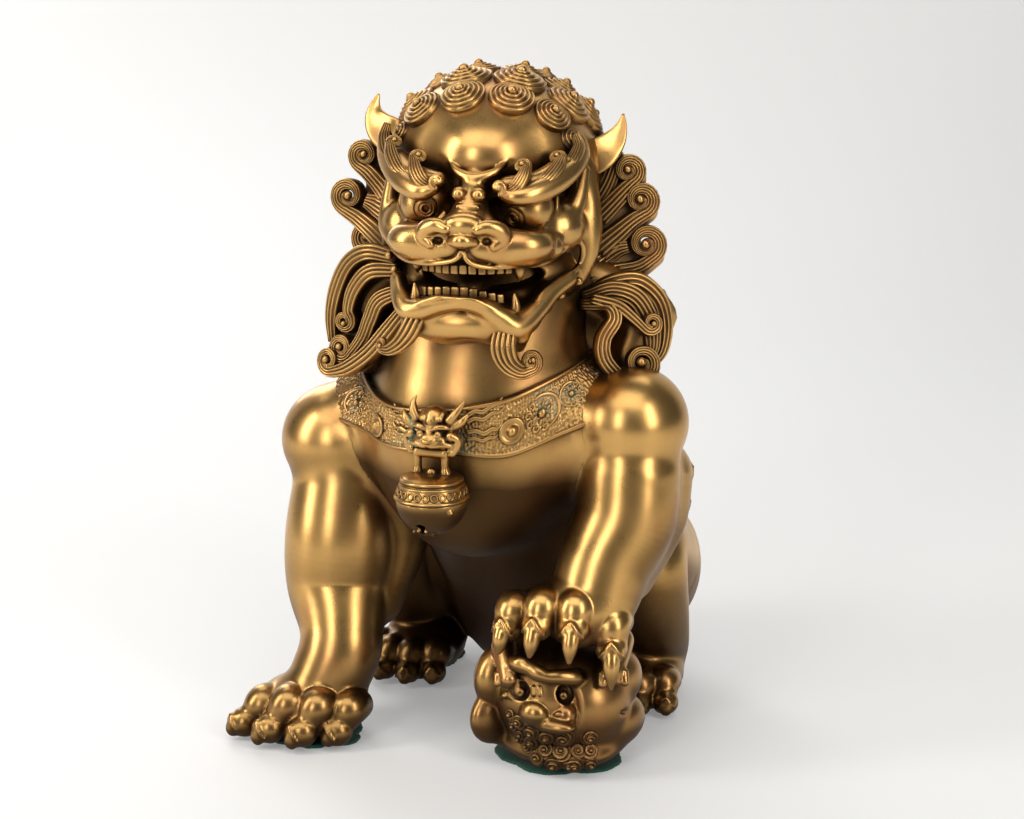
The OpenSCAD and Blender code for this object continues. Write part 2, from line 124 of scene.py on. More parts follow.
class Form:
    # a list of balls, rolls and cuts; each one is measured only near itself
    def __init__(self):
        self.strokes = []

    def stroke(self, low, high, measure, soft, cut):
        pad = max(soft, 3) + 4
        self.strokes.append((np.array(low) - pad, np.array(high) + pad, measure, soft, cut))
        return self

    def ball(self, at, radii, soft=4.0, turn=None, cut=False):
        at, radii = np.array(at, float), np.array(radii, float) * np.ones(3)
        reach = radii if turn is None else np.ones(3) * radii.max()
        spin = None if turn is None else np.array(Matrix.Rotation(math.radians(turn[0]), 3, turn[1]))

        def measure(x, y, z):
            x, y, z = x - at[0], y - at[1], z - at[2]
            if spin is not None:
                x, y, z = (spin[0, k] * x + spin[1, k] * y + spin[2, k] * z for k in range(3))
            near = np.sqrt((x / radii[0]) ** 2 + (y / radii[1]) ** 2 + (z / radii[2]) ** 2)
            slope = np.sqrt((x / radii[0] ** 2) ** 2 + (y / radii[1] ** 2) ** 2 + (z / radii[2] ** 2) ** 2)
            return near * (near - 1) / np.maximum(slope, 1e-6)
        return self.stroke(at - reach, at + reach, measure, soft, cut)

    def roll(self, balls, soft=4.0, cut=False):
        # a roll of clay through balls of [x, y, z, radius]
        balls = np.array(balls, float)
        low = (balls[:, :3] - balls[:, 3:]).min(0)
        high = (balls[:, :3] + balls[:, 3:]).max(0)

        def measure(x, y, z):
            best = None
            for a, b in zip(balls[:-1], balls[1:]):
                span = b[:3] - a[:3]
                t = ((x - a[0]) * span[0] + (y - a[1]) * span[1] + (z - a[2]) * span[2]) / max(span @ span,
                                                                                               1e-6)
                t = np.clip(t, 0, 1)
                d = np.sqrt((x - a[0] - t * span[0]) ** 2 + (y - a[1] - t * span[1]) ** 2
                            + (z - a[2] - t * span[2]) ** 2) - (a[3] + t * (b[3] - a[3]))
                best = d if best is None else np.minimum(best, d)
            return best
        return self.stroke(low, high, measure, soft, cut)

    def bend(self, balls, soft=4.0, cut=False, steps=9):
        # the same along a smooth curve
        return self.roll(smoothPath(balls, steps), soft, cut)

    def block(self, at, half, rounding, turn=0.0, soft=0.3, cut=False):
        # a box with rounded edges, turned about z by degrees
        at, half = np.array(at, float), np.array(half, float)
        c, s = math.cos(math.radians(turn)), math.sin(math.radians(turn))
        reach = np.ones(3) * np.linalg.norm(half)

        def measure(x, y, z):
            x, y, z = x - at[0], y - at[1], z - at[2]
            x, y = x * c + y * s, y * c - x * s
            q = [np.abs(v) - h + rounding for v, h in zip((x, y, z), half)]
            outside = np.sqrt(sum(np.maximum(v, 0) ** 2 for v in q))
            return outside + np.minimum(np.maximum(np.maximum(q[0], q[1]), q[2]), 0) - rounding
        return self.stroke(at - reach, at + reach, measure, soft, cut)

    def at(self, points):
        # the same field at loose points
        x, y, z = (points[:, k] for k in range(3))
        d = np.full(len(points), farOff)
        for _, _, measure, soft, cut in self.strokes:
            new = measure(x, y, z)
            d = carve(d, new, soft) if cut else meld(d, new, soft)
        return d

    def on(self, grid):
        d = np.full(grid.count, farOff, np.float32)
        for low, high, measure, soft, cut in self.strokes:
            where, axes = grid.window(low, high)
            if min(s.stop - s.start for s in where) < 1:
                continue
            new = measure(*axes)
            d[where] = carve(d[where], new, soft) if cut else meld(d[where], new, soft)
        return d


def smoothPath(points, steps):
    # Catmull-Rom through the points; every column is carried along
    p = np.array(points, float)
    p = np.vstack([2 * p[0] - p[1], p, 2 * p[-1] - p[-2]])
    out = []
    for i in range(1, len(p) - 2):
        for k in range(steps):
            t = k / steps
            out.append(0.5 * (2 * p[i] + (p[i + 1] - p[i - 1]) * t
                              + (2 * p[i - 1] - 5 * p[i] + 4 * p[i + 1] - p[i + 2]) * t * t
                              + (3 * p[i] - p[i - 1] - 3 * p[i + 1] + p[i + 2]) * t ** 3))
    out.append(p[-2])
    return np.array(out)


def linked(name, mesh, finish):
    piece = bpy.data.objects.new(name, mesh)
    bpy.context.scene.collection.objects.link(piece)
    mesh.materials.append(finish)
    return piece


def makeMesh(name, points, faces, finish):
    mesh = bpy.data.meshes.new(name)
    mesh.from_pydata([tuple(p) for p in np.asarray(points) * mm], [], faces)
    mesh.polygons.foreach_set("use_smooth", [True] * len(mesh.polygons))
    mesh.update()
    return linked(name, mesh, finish)


def quadMesh(name, points, quads, finish):
    # the quick way for large meshes
    mesh = bpy.data.meshes.new(name)
    mesh.vertices.add(len(points))
    mesh.vertices.foreach_set("co", (np.asarray(points) * mm).astype(np.float32).ravel())
    mesh.loops.add(quads.size)
    mesh.loops.foreach_set("vertex_index", quads.astype(np.int32).ravel())
    mesh.polygons.add(len(quads))
    mesh.polygons.foreach_set("loop_start", np.arange(0, quads.size, 4, dtype=np.int32))
    mesh.polygons.foreach_set("use_smooth", np.ones(len(quads), bool))
    mesh.update(calc_edges=True)
    mesh.validate()
    return linked(name, mesh, finish)


def ringFaces(rows, around):
    # closed rings of points, row by row, with both ends capped
    faces = [(i * around + k, i * around + (k + 1) % around, (i + 1) * around + (k + 1) % around,
              (i + 1) * around + k) for i in range(rows - 1) for k in range(around)]
    faces.append(tuple(range(around - 1, -1, -1)))
    faces.append(tuple((rows - 1) * around + k for k in range(around)))
    return faces


def tube(name, points, rows, around, finish):
    return makeMesh(name, points, ringFaces(rows, around), finish)


def lathe(name, profile, around, finish, place):
    # turns a profile of (radius, height) about z; place moves the points
    turn = np.linspace(0, 2 * math.pi, around, endpoint=False)
    points = [(r * math.cos(a), r * math.sin(a), h) for r, h in profile for a in turn]
    return tube(name, place(np.array(points)), len(profile), around, finish)


def relax(points, quads, rounds):
    # evens out the skin a little
    a = quads[:, [0, 1, 2, 3]].ravel()
    b = quads[:, [1, 2, 3, 0]].ravel()
    ends = np.concatenate([a, b])
    mates = np.concatenate([b, a])
    degree = np.maximum(np.bincount(ends, minlength=len(points)), 1)
    for k in range(rounds):
        pull = [np.bincount(ends, points[mates, i], minlength=len(points)) / degree for i in range(3)]
        points = points + (0.5 if k % 2 == 0 else -0.52) * (np.stack(pull, 1) - points)
    return points


def skin(name, field, grid, finish, rounds=4, headFrame=False, guide=None):
    # turns a field into a mesh; guide is the field whose slope gives the shading across a seam
    solid = openvdb.FloatGrid()
    solid.background = farOff
    solid.copyFromArray(np.ascontiguousarray(field, dtype=np.float32))
    points, _, quads = solid.convertToPolygons(isovalue=0.0, adaptivity=0.0)
    points = np.array(points, float) * grid.step + grid.low
    quads = np.array(quads)
    points = relax(points, quads, rounds)
    slopes = None
    if guide is not None:
        slopes = np.stack([grid.sample(g, points) for g in np.gradient(guide, grid.step)], 1)
        slopes /= np.maximum(np.linalg.norm(slopes, axis=1), 1e-6)[:, None]
        middle = points[quads].mean(1)
        inside = grid.sample(guide, middle) < -0.7 * grid.step
    if headFrame:
        c, s = math.cos(headTurn), math.sin(headTurn)
        spin = np.array([[c, -s, 0], [s, c, 0], [0, 0, 1]])
        points = points @ spin.T + headAt
        slopes = None if slopes is None else slopes @ spin.T
    piece = quadMesh(name, points, quads, finish)
    if slopes is not None and len(piece.data.loops) == quads.size:
        perCorner = slopes[quads.ravel()]
        perCorner[np.repeat(inside, 4)] = 0
        piece.data.normals_split_custom_set(perCorner.tolist())
    return piece


def onStatue(piece, *nodes, slot="aged_brass"):
    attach(piece, "statue")
    if nodes:
        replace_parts(piece, *nodes)
    return piece


class Sum:
    # wraps a value socket so that node maths reads as an expression
    def __init__(self, shop, socket):
        self.shop, self.socket = shop, socket

    def math(self, how, other=None, flip=False, clamp=False):
        a, b = (other, self) if flip else (self, other)
        values = {0: a} if b is None else {0: a, 1: b}
        return self.shop.node("ShaderNodeMath", {"operation": how, "use_clamp": clamp}, values)

    def __add__(self, other):
        return self.math("ADD", other)

    def __radd__(self, other):
        return self.math("ADD", other, True)

    def __sub__(self, other):
        return self.math("SUBTRACT", other)

    def __rsub__(self, other):
        return self.math("SUBTRACT", other, True)

    def __mul__(self, other):
        return self.math("MULTIPLY", other)

    def __rmul__(self, other):
        return self.math("MULTIPLY", other, True)

    def clip(self):
        return self.math("ADD", 0.0, clamp=True)

    def within(self, low, high, to=(0.0, 1.0)):
        # rescales low..high, clamped
        return self.shop.node("ShaderNodeMapRange", {"clamp": True, "interpolation_type": "SMOOTHSTEP"},
                              {0: self, 1: low, 2: high, 3: to[0], 4: to[1]})


class Shop:
    # a material being mixed
    def __init__(self, name):
        self.material = bpy.data.materials.new(name)
        self.material.use_nodes = True
        self.tree = self.material.node_tree
        self.shader = self.tree.nodes["Principled BSDF"]
        self.place = self.tree.nodes.new("ShaderNodeTexCoord").outputs["Object"]

    def node(self, kind, settings=None, values=None, out=0):
        made = self.tree.nodes.new(kind)
        for key, value in (settings or {}).items():
            setattr(made, key, value)
        for key, value in (values or {}).items():
            self.feed(made.inputs[key], value)
        return Sum(self, made.outputs[out])

    def feed(self, socket, value):
        if isinstance(value, Sum):
            self.tree.links.new(value.socket, socket)
        elif isinstance(value, bpy.types.NodeSocket):
            self.tree.links.new(value, socket)
        else:
            socket.default_value = value

    def noise(self, size, detail, rough):
        return self.node("ShaderNodeTexNoise", None,
                         {"Vector": self.place, "Scale": 1 / (size * mm), "Detail": detail,
                          "Roughness": rough})

    def tint(self, amount, low, high):
        # colour from low to high
        made = self.tree.nodes.new("ShaderNodeMix")
        made.data_type = "RGBA"
        self.feed(made.inputs["Factor"], amount)
        for socket, value in ((made.inputs[6], low), (made.inputs[7], high)):
            self.feed(socket, value if isinstance(value, Sum) else (*value, 1.0))
        return Sum(self, made.outputs[2])

    def shade(self, **values):
        names = {"colour": "Base Color", "roughness": "Roughness", "metal": "Metallic"}
        for key, value in values.items():
            if key == "bumps":
                bump = self.tree.nodes.new("ShaderNodeBump")
                bump.inputs["Distance"].default_value = value[1] * mm
                bump.inputs["Strength"].default_value = 1.0
                self.feed(bump.inputs["Height"], value[0])
                self.feed(self.shader.inputs["Normal"], bump.outputs[0])
            else:
                self.feed(self.shader.inputs[names[key]], value)
        return self.material


brassLook = {
    "gold": (0.64, 0.375, 0.125), "bronze": (0.27, 0.142, 0.044), "brown": (0.040, 0.019, 0.008),
    "red": (0.46, 0.19, 0.08), "green": (0.20, 0.42, 0.34),
    "paintedShadeDistance": 120.0, "recess": 13.0, "fine": 3.2, "shine": 0.29,
}


def agedBrass(name, polish=0.5, dirt=1.0, greenish=0.0, grain=1.0, under=1.0, paintedShadeWeight=1.0):
    # cast brass: burnished gold where hands and cloths reach and patina brown in its hollows, with painted
    # shade in sheltered places, a painted dark reflection under the body and a painted highlight on sharp
    # edges
    shop = Shop(name)
    far, near, tight = (shop.node("ShaderNodeAmbientOcclusion", {"samples": 5},
                                  {"Distance": brassLook[k] * mm}, "AO")
                        for k in ("paintedShadeDistance", "recess", "fine"))
    edge = shop.node("ShaderNodeNewGeometry", out="Pointiness")
    way = shop.node("ShaderNodeNewGeometry", out="Normal")
    tilt = shop.node("ShaderNodeSeparateXYZ", None, {0: way}, 2)
    height = shop.node("ShaderNodeSeparateXYZ", None, {0: shop.place}, 2)
    cloud = shop.noise(85, 2.0, 0.5)
    patch = shop.noise(23, 4.0, 0.6)
    speck = shop.noise(1.8, 2.0, 0.6)
    # random mottling, plus a painted highlight on sharp edges from the pointiness
    mottleAndEdgeHighlight = (cloud - 0.5) * 0.5 + (patch - 0.5) * 0.3 + (edge - 0.5) * 1.2
    # gold against bronze: partly burnish and patina, partly painted shade from the wide occlusion and the
    # painted edge highlight
    reach = (far * 0.75 + near * 0.45 + mottleAndEdgeHighlight).within(0.55, 1.30 - 0.2 * polish)
    crevice = (near * 0.45 + tight * 0.55 + mottleAndEdgeHighlight * 0.4).within(0.74 * dirt, 0.30 * dirt)
    # painted shade and dark reflection under the body: downward faces low on the figure turn brown
    low = (height + cloud * 0.02).within(0.235, 0.180)
    down = ((tilt + mottleAndEdgeHighlight * 0.25).within(0.17, -0.22) * low * under).clip()
    # painted shade: brown where the wide occlusion finds the surface shut in
    shade = (far + mottleAndEdgeHighlight * 0.35).within(0.74, 0.18) * paintedShadeWeight
    # darker towards the bottom
    towardsBottom = (height + mottleAndEdgeHighlight * 0.03).within(0.095, 0.035) * under
    colour = shop.tint(reach, brassLook["bronze"], brassLook["gold"])
    colour = shop.tint((patch * cloud).within(0.24, 0.40) * 0.45, colour, brassLook["red"])
    # painted shade from the wide occlusion
    colour = shop.tint(shade * 0.85, colour, brassLook["brown"])
    # painted shade and dark reflection underneath
    colour = shop.tint(down * 0.93, colour, brassLook["brown"])
    colour = shop.tint((towardsBottom * 0.5).clip(), colour, brassLook["brown"])
    colour = shop.tint(crevice * 0.93, colour, brassLook["brown"])
    if greenish:
        colour = shop.tint(patch.within(0.50, 0.62) * crevice * greenish, colour, brassLook["green"])
    colour = shop.tint(speck.within(0.70, 0.80) * 0.3, colour, brassLook["brown"])
    rough = brassLook["shine"] + (1 - reach) * 0.10 + crevice * 0.25 + down * 0.22 + (patch - 0.5) * 0.16
    relief = patch * (0.10 * grain) + speck * 0.010 * grain
    return shop.shade(colour=colour, roughness=rough, metal=1 - crevice * 0.5, bumps=(relief, 1.0))


brass = agedBrass("aged_brass_body", polish=0.6, under=0.7)
# the torso takes a stronger painted dark underside
bellyBrass = agedBrass("aged_brass_torso", polish=0.5, under=1.5)
cubBrass = agedBrass("aged_brass_cub", polish=0.1, dirt=1.15, under=0.8)
bellBrass = agedBrass("aged_brass_bell", polish=0.4, dirt=1.1, under=1.1)
# the eyes: a lighter copy, painted light against the sockets' shade, with weaker painted shade and no painted
# dark underside
eyeBrass = agedBrass("aged_brass_eyes", polish=1.0, dirt=0.6, under=0.0, paintedShadeWeight=0.35)
hairBrass = agedBrass("aged_brass_hair", polish=0.3, dirt=1.16, under=0.4)
collarBrass = agedBrass("aged_brass_collar", polish=0.1, dirt=1.26, greenish=0.8)
# a darker copy of the brass: on the upper teeth it is painted shade under the lip; also used for the tongue
# and the bell's pin and pellet
darkBrass = agedBrass("dark_brass", polish=0.0, dirt=1.4)


feltLook = {"deep": (0.002, 0.03, 0.017), "pile": (0.008, 0.09, 0.05), "matted": (0.004, 0.05, 0.03)}


def greenFelt():
    shop = Shop("green_felt")
    fibre = shop.noise(0.5, 4.0, 0.7)
    mat = shop.noise(5, 3.0, 0.6)
    colour = shop.tint(fibre.within(0.3, 0.7), feltLook["deep"], feltLook["pile"])
    colour = shop.tint(mat.within(0.4, 0.7) * 0.4, colour, feltLook["matted"])
    shop.shader.inputs["Sheen Weight"].default_value = 0.12
    shop.shader.inputs["Sheen Roughness"].default_value = 0.5
    return shop.shade(colour=colour, roughness=0.95 - fibre * 0.1, metal=0.0,
                      bumps=(fibre * 0.5 + mat * 0.3, 0.5))


felt = greenFelt()
print("finishes mixed")


torsoShape = {
    "rump": ((0, 88, 62), (71, 64, 68)), "chest": ((2, -40, 208), (80, 74, 73)),
    "shoulderR": ((-68, -36, 212), (44, 42, 44)), "shoulderL": ((72, -42, 220), (44, 42, 46)),
    "sternum": ((4, -66, 176), (52, 38, 44)),
}
torso = Form()
for key in torsoShape:
    torso.ball(*torsoShape[key], soft=16)
torso.bend([(0, 66, 100, 70), (0, 28, 152, 72), (1, -6, 200, 68), (4, -24, 250, 62)], soft=18)
torso.bend([(3, -42, 246, 70), (7, -37, 290, 67), (10, -28, 335, 57)], soft=16)
torso.bend([(0, 92, 96, 62), (0, 62, 170, 58), (4, 22, 250, 52)], soft=18)

foreR = Form()
foreR.ball((-103, -46, 198), (41, 40, 39), soft=6)
foreR.bend([(-97, -50, 168, 37), (-98, -56, 130, 40), (-99, -60, 100, 37), (-90, -76, 74, 29.5),
            (-88, -84, 56, 28.5), (-95, -92, 34, 27)], soft=7)
foreR.bend([(-66, -36, 168, 27), (-66, -36, 126, 22), (-74, -50, 84, 17)], soft=6)
foreR.bend([(-96, -10, 168, 26), (-92, -20, 130, 22)], soft=10)
foreR.ball((-104, -96, 20), (39, 36, 22), soft=8)

foreL = Form()
foreL.ball((111, -50, 229), (37, 38, 37), soft=6)
foreL.bend([(113, -58, 196, 33), (112, -64, 168, 33), (103, -76, 142, 30.5), (99, -84, 122, 29),
            (92, -94, 112, 25)], soft=7)
foreL.bend([(118, -26, 188, 27), (120, -34, 160, 23), (110, -56, 128, 20)], soft=8)
foreL.ball((86, -93, 113), (37, 22, 16), soft=8)


def addToes(form, knuckles, tips, size, lobeAt=0.38):
    # each toe: a knuckle lobe, an end lobe, and a nail with a folded cuticle over its root
    for knuckle, tip in zip(knuckles, tips):
        k, t = np.array(knuckle, float), np.array(tip, float)
        root = k + np.array([0, 0.9 * size, -2])
        form.bend([(*root, size * 0.85), (*k, size), (*(k + (t - k) * 0.22), size * 0.84)], soft=1.1)
        lobe = t + (k - t) * lobeAt
        ahead = np.array([(t - k)[0], (t - k)[1], 0])
        ahead /= np.linalg.norm(ahead)
        side = np.array([-ahead[1], ahead[0], 0])
        form.ball(lobe, (size * 0.84, size * 0.80, size * 0.82), soft=1.0)
        over = lobe + ahead * size * 0.74 + np.array([0, 0, size * 0.50])
        form.bend([(*(lobe + ahead * size * 0.44 + [0, 0, size * 0.16]), size * 0.46),
                   (*(lobe * 0.55 + t * 0.45 + ahead * size * 0.34), size * 0.42), (*t, 1.6)], soft=0.5)
        for hand in (-1, 1):
            form.bend([(*over, 1.7), (*(lobe + ahead * size * 0.80 + side * hand * size * 0.34
                                        + [0, 0, size * 0.12]), 1.5),
                       (*(lobe + ahead * size * 0.60 + side * hand * size * 0.64 - [0, 0, size * 0.30]),
                        1.0)], soft=0.4)


addToes(foreR, [(-130, -116, 24), (-108, -121, 29), (-87, -119, 29), (-69, -108, 26)],
        [(-147, -131, 4), (-123, -140, 4), (-98, -138, 4), (-77, -124, 4)], 13.0)
addToes(foreL, [(52, -108, 112), (73, -112, 118), (95, -110, 119), (115, -98, 107)],
        [(48, -126, 87), (72, -133, 90), (98, -131, 89), (121, -116, 69)], 12.6, 0.62)


def hindLeg(side):
    leg = Form()
    leg.ball((side * 70, 88, 88), (48, 50, 56), soft=14)
    leg.bend([(side * 78, 66, 100, 44), (side * 90, 40, 112, 33), (side * 95, 34, 96, 30),
              (side * 94, 54, 58, 27), (side * 90, 76, 30, 24), (side * 86, 60, 22, 25)], soft=10)
    leg.ball((side * 86, 50, 18), (32, 36, 20), soft=8)
    knuckles = [(side * x, y, 21) for x, y in ((64, 26), (80, 20), (97, 21), (111, 31))]
    tips = [(side * x, y, 4) for x, y in ((60, 9), (79, 2), (100, 3), (118, 14))]
    addToes(leg, knuckles, tips, 11.5)
    return leg


hindR, hindL = hindLeg(-1), hindLeg(1)
feltTop = 2.5


def casting(name, own, others, low, high, step, soft=9.0, floor=None, finish=brass, headFrame=False,
            rounds=4):
    # one casting, blended into its neighbours and parted from them at the seam
    grid = Grid(low, high, step)
    mine = own.on(grid)
    whole, near = mine, None
    for other in others:
        d = other.on(grid)
        whole = meld(whole, d, soft)
        near = d if near is None else np.minimum(near, d)
    solid = np.maximum(whole, (mine - near) * 0.5 - seamGap)
    if floor is not None:
        _, axes = grid.window(grid.low, grid.low + grid.step * grid.count)
        drop = floor - axes[2][:, :, : solid.shape[2]]
        solid = np.maximum(solid, drop)
        whole = np.maximum(whole, drop)
    piece = skin(name, solid, grid, finish, rounds, headFrame, whole)
    print(name, len(piece.data.polygons), "faces")
    return onStatue(piece, name)


casting("torso", torso, [foreR, foreL, hindR, hindL], (-112, -122, 0), (116, 160, 350), 2.4, floor=feltTop,
        finish=bellyBrass)
casting("right_foreleg", foreR, [torso], (-156, -146, 0), (-20, 30, 246), 1.7, floor=feltTop)
casting("left_foreleg", foreL, [torso], (26, -140, 60), (156, 20, 274), 1.5)
casting("right_hind_leg", hindR, [torso], (-130, -4, 0), (-8, 148, 156), 1.9, floor=feltTop)
casting("left_hind_leg", hindL, [torso], (8, -4, 0), (130, 148, 156), 1.9, floor=feltTop)
print("body castings skinned")


class Heap:
    # many small shells gathered into one piece
    def __init__(self, name):
        self.name, self.points, self.faces = name, [], []

    def add(self, points, faces):
        start = len(self.points)
        self.points.extend(points)
        self.faces.extend([tuple(start + i for i in f) for f in faces])

    def rings(self, points, rows, around):
        self.add(points, ringFaces(rows, around))

    def knob(self, at, r):
        # a small round ball
        rows, around = 9, 14
        ring = [(at[0] + r * math.sin(a) * math.cos(b), at[1] + r * math.sin(a) * math.sin(b),
                 at[2] - r * math.cos(a))
                for a in np.linspace(0.12, math.pi - 0.12, rows)
                for b in np.linspace(0, 2 * math.pi, around, endpoint=False)]
        self.rings(ring, rows, around)

    def take(self, piece):
        # a clay piece joins the heap and is removed
        mesh = piece.data
        self.add([np.array(v.co) / mm for v in mesh.vertices], [tuple(p.vertices) for p in mesh.polygons])
        bpy.data.objects.remove(piece)

    def make(self, finish):
        return makeMesh(self.name, self.points, self.faces, finish)


def seat(form, inside, through, reach=110):
    # where a line from inside leaves the form, and the surface's direction there
    inside, through = np.array(inside, float), np.array(through, float)
    line = (through - inside) / np.linalg.norm(through - inside)
    steps = np.linspace(0, reach, 240)
    d = form.at(inside + steps[:, None] * line)
    k = int(np.argmax(d > 0))
    t = steps[k] if k == 0 else steps[k - 1] + (steps[k] - steps[k - 1]) * d[k - 1] / (d[k - 1] - d[k])
    p = inside + t * line
    probe = np.vstack([p + e for e in np.eye(3)] + [p - e for e in np.eye(3)])
    d = form.at(probe)
    n = d[:3] - d[3:]
    return p, n / max(np.linalg.norm(n), 1e-6)


curlShape = {"rings": 5.0, "height": 0.41, "ridge": 0.70, "knob": 0.20, "skirt": 7.0}


def snailCurl(heap, at, toward, r, hand=1, phase=0.0, rise=1.0, rings=None):
    # a coiled curl: a stepped cone with a ball on its top
    toward = np.array(toward, float) / np.linalg.norm(toward)
    side = np.cross(toward, [0.31, 0.2, 0.93])
    side /= np.linalg.norm(side)
    up = np.cross(toward, side)
    rings = rings or max(2.6, curlShape["rings"] * min(1.0, r / 13))
    tall = curlShape["height"] * r * rise
    knob = max(1.5, curlShape["knob"] * r)
    around = 40 if r > 9 else 28
    fine = int(rings * 7)
    rows = [(knob * math.sin(a), tall + knob * math.cos(a), 0.0) for a in np.linspace(0.15, 2.0, 7)]
    rows += [(None, None, q) for q in np.linspace(knob * 0.75 / r, 1.0, fine)]
    rows.append((r * 1.0, -0.25 * r, 0.0))
    rows.append((r * 0.9, -curlShape["skirt"], 0.0))
    slant = math.hypot(tall, r)
    points = []
    for radius, height, q in rows:
        for k in range(around):
            a = 2 * math.pi * k / around
            if radius is None:
                turn = q * rings - hand * a / (2 * math.pi) + phase
                ridge = curlShape["ridge"] * r / rings * (abs(math.sin(math.pi * turn)) ** 0.75 - 0.35)
                base = tall * (1 - q ** 1.35)
                out, lift = q * r + ridge * tall / slant * 1.2, base + ridge * r / slant
            else:
                out, lift = radius, height
            points.append(at + side * out * math.cos(a) + up * out * math.sin(a) + toward * lift)
    heap.rings(points, len(rows), around)


lockShape = {"ridge": 0.72, "steps": 7}


def lock(heap, path, outward, strands, thick=3.0, curl=None, headFrame=True):
    # a flat bundle of strands along a path of [x, y, z, half width]; curl is (radius, turns, hand)
    rows = smoothPath(path, lockShape["steps"])
    outward = np.array(outward, float)
    lifts = np.zeros(len(rows))
    if curl:
        radius, turns, hand = curl
        along = rows[-1, :3] - rows[-2, :3]
        along /= np.linalg.norm(along)
        n = outward - along * (outward @ along)
        n /= np.linalg.norm(n)
        side = np.cross(along, n) * hand
        centre = rows[-1, :3] + side * radius
        count = int(turns * 22)
        tail = []
        for k in range(1, count + 1):
            f = k / count
            a = f * turns * 2 * math.pi
            r = radius * (1 - f) ** 0.85 + 1.2 * f
            tail.append([*(centre - side * r * math.cos(a) + along * r * math.sin(a)),
                         rows[-1, 3] * (1 - f) + 1.0 * f])
            lifts = np.append(lifts, 0.30 * radius * f)
        rows = np.vstack([rows, tail])
    across = strands * 5 + 1
    u = np.linspace(-1, 1, across)
    front = np.sqrt(np.maximum(1 - u ** 2, 0)) * 0.9
    ridge = np.abs(np.sin(math.pi * strands * (u + 1) / 2)) ** 0.7
    back = np.linspace(0.86, -0.86, 5)
    points = []
    for i, row in enumerate(rows):
        along = rows[min(i + 1, len(rows) - 1), :3] - rows[max(i - 1, 0), :3]
        along /= max(np.linalg.norm(along), 1e-6)
        n = outward - along * (outward @ along)
        n /= np.linalg.norm(n)
        side = np.cross(along, n)
        w = row[3]
        t = thick * min(1.0, 0.35 + w / 6)
        crest = lockShape["ridge"] * 2 * w / strands
        middle = row[:3] + n * lifts[i]
        for k in range(across):
            points.append(middle + side * u[k] * w + n * (t * front[k] + min(crest, 2.3) * ridge[k]))
        for v in back:
            points.append(middle + side * v * w - n * t * 1.2)
    if curl:
        ball = rows[-1, :3] + n * (lifts[-1] + thick * 0.5)
    if headFrame:
        points = [ofHead(p) for p in points]
    heap.rings(points, len(rows), across + len(back))
    if curl:
        heap.knob(ofHead(ball) if headFrame else ball, max(1.7, curl[0] * 0.30))


# Head, in its own frame: x to the figure's left, y backwards, z up from between the eyes.

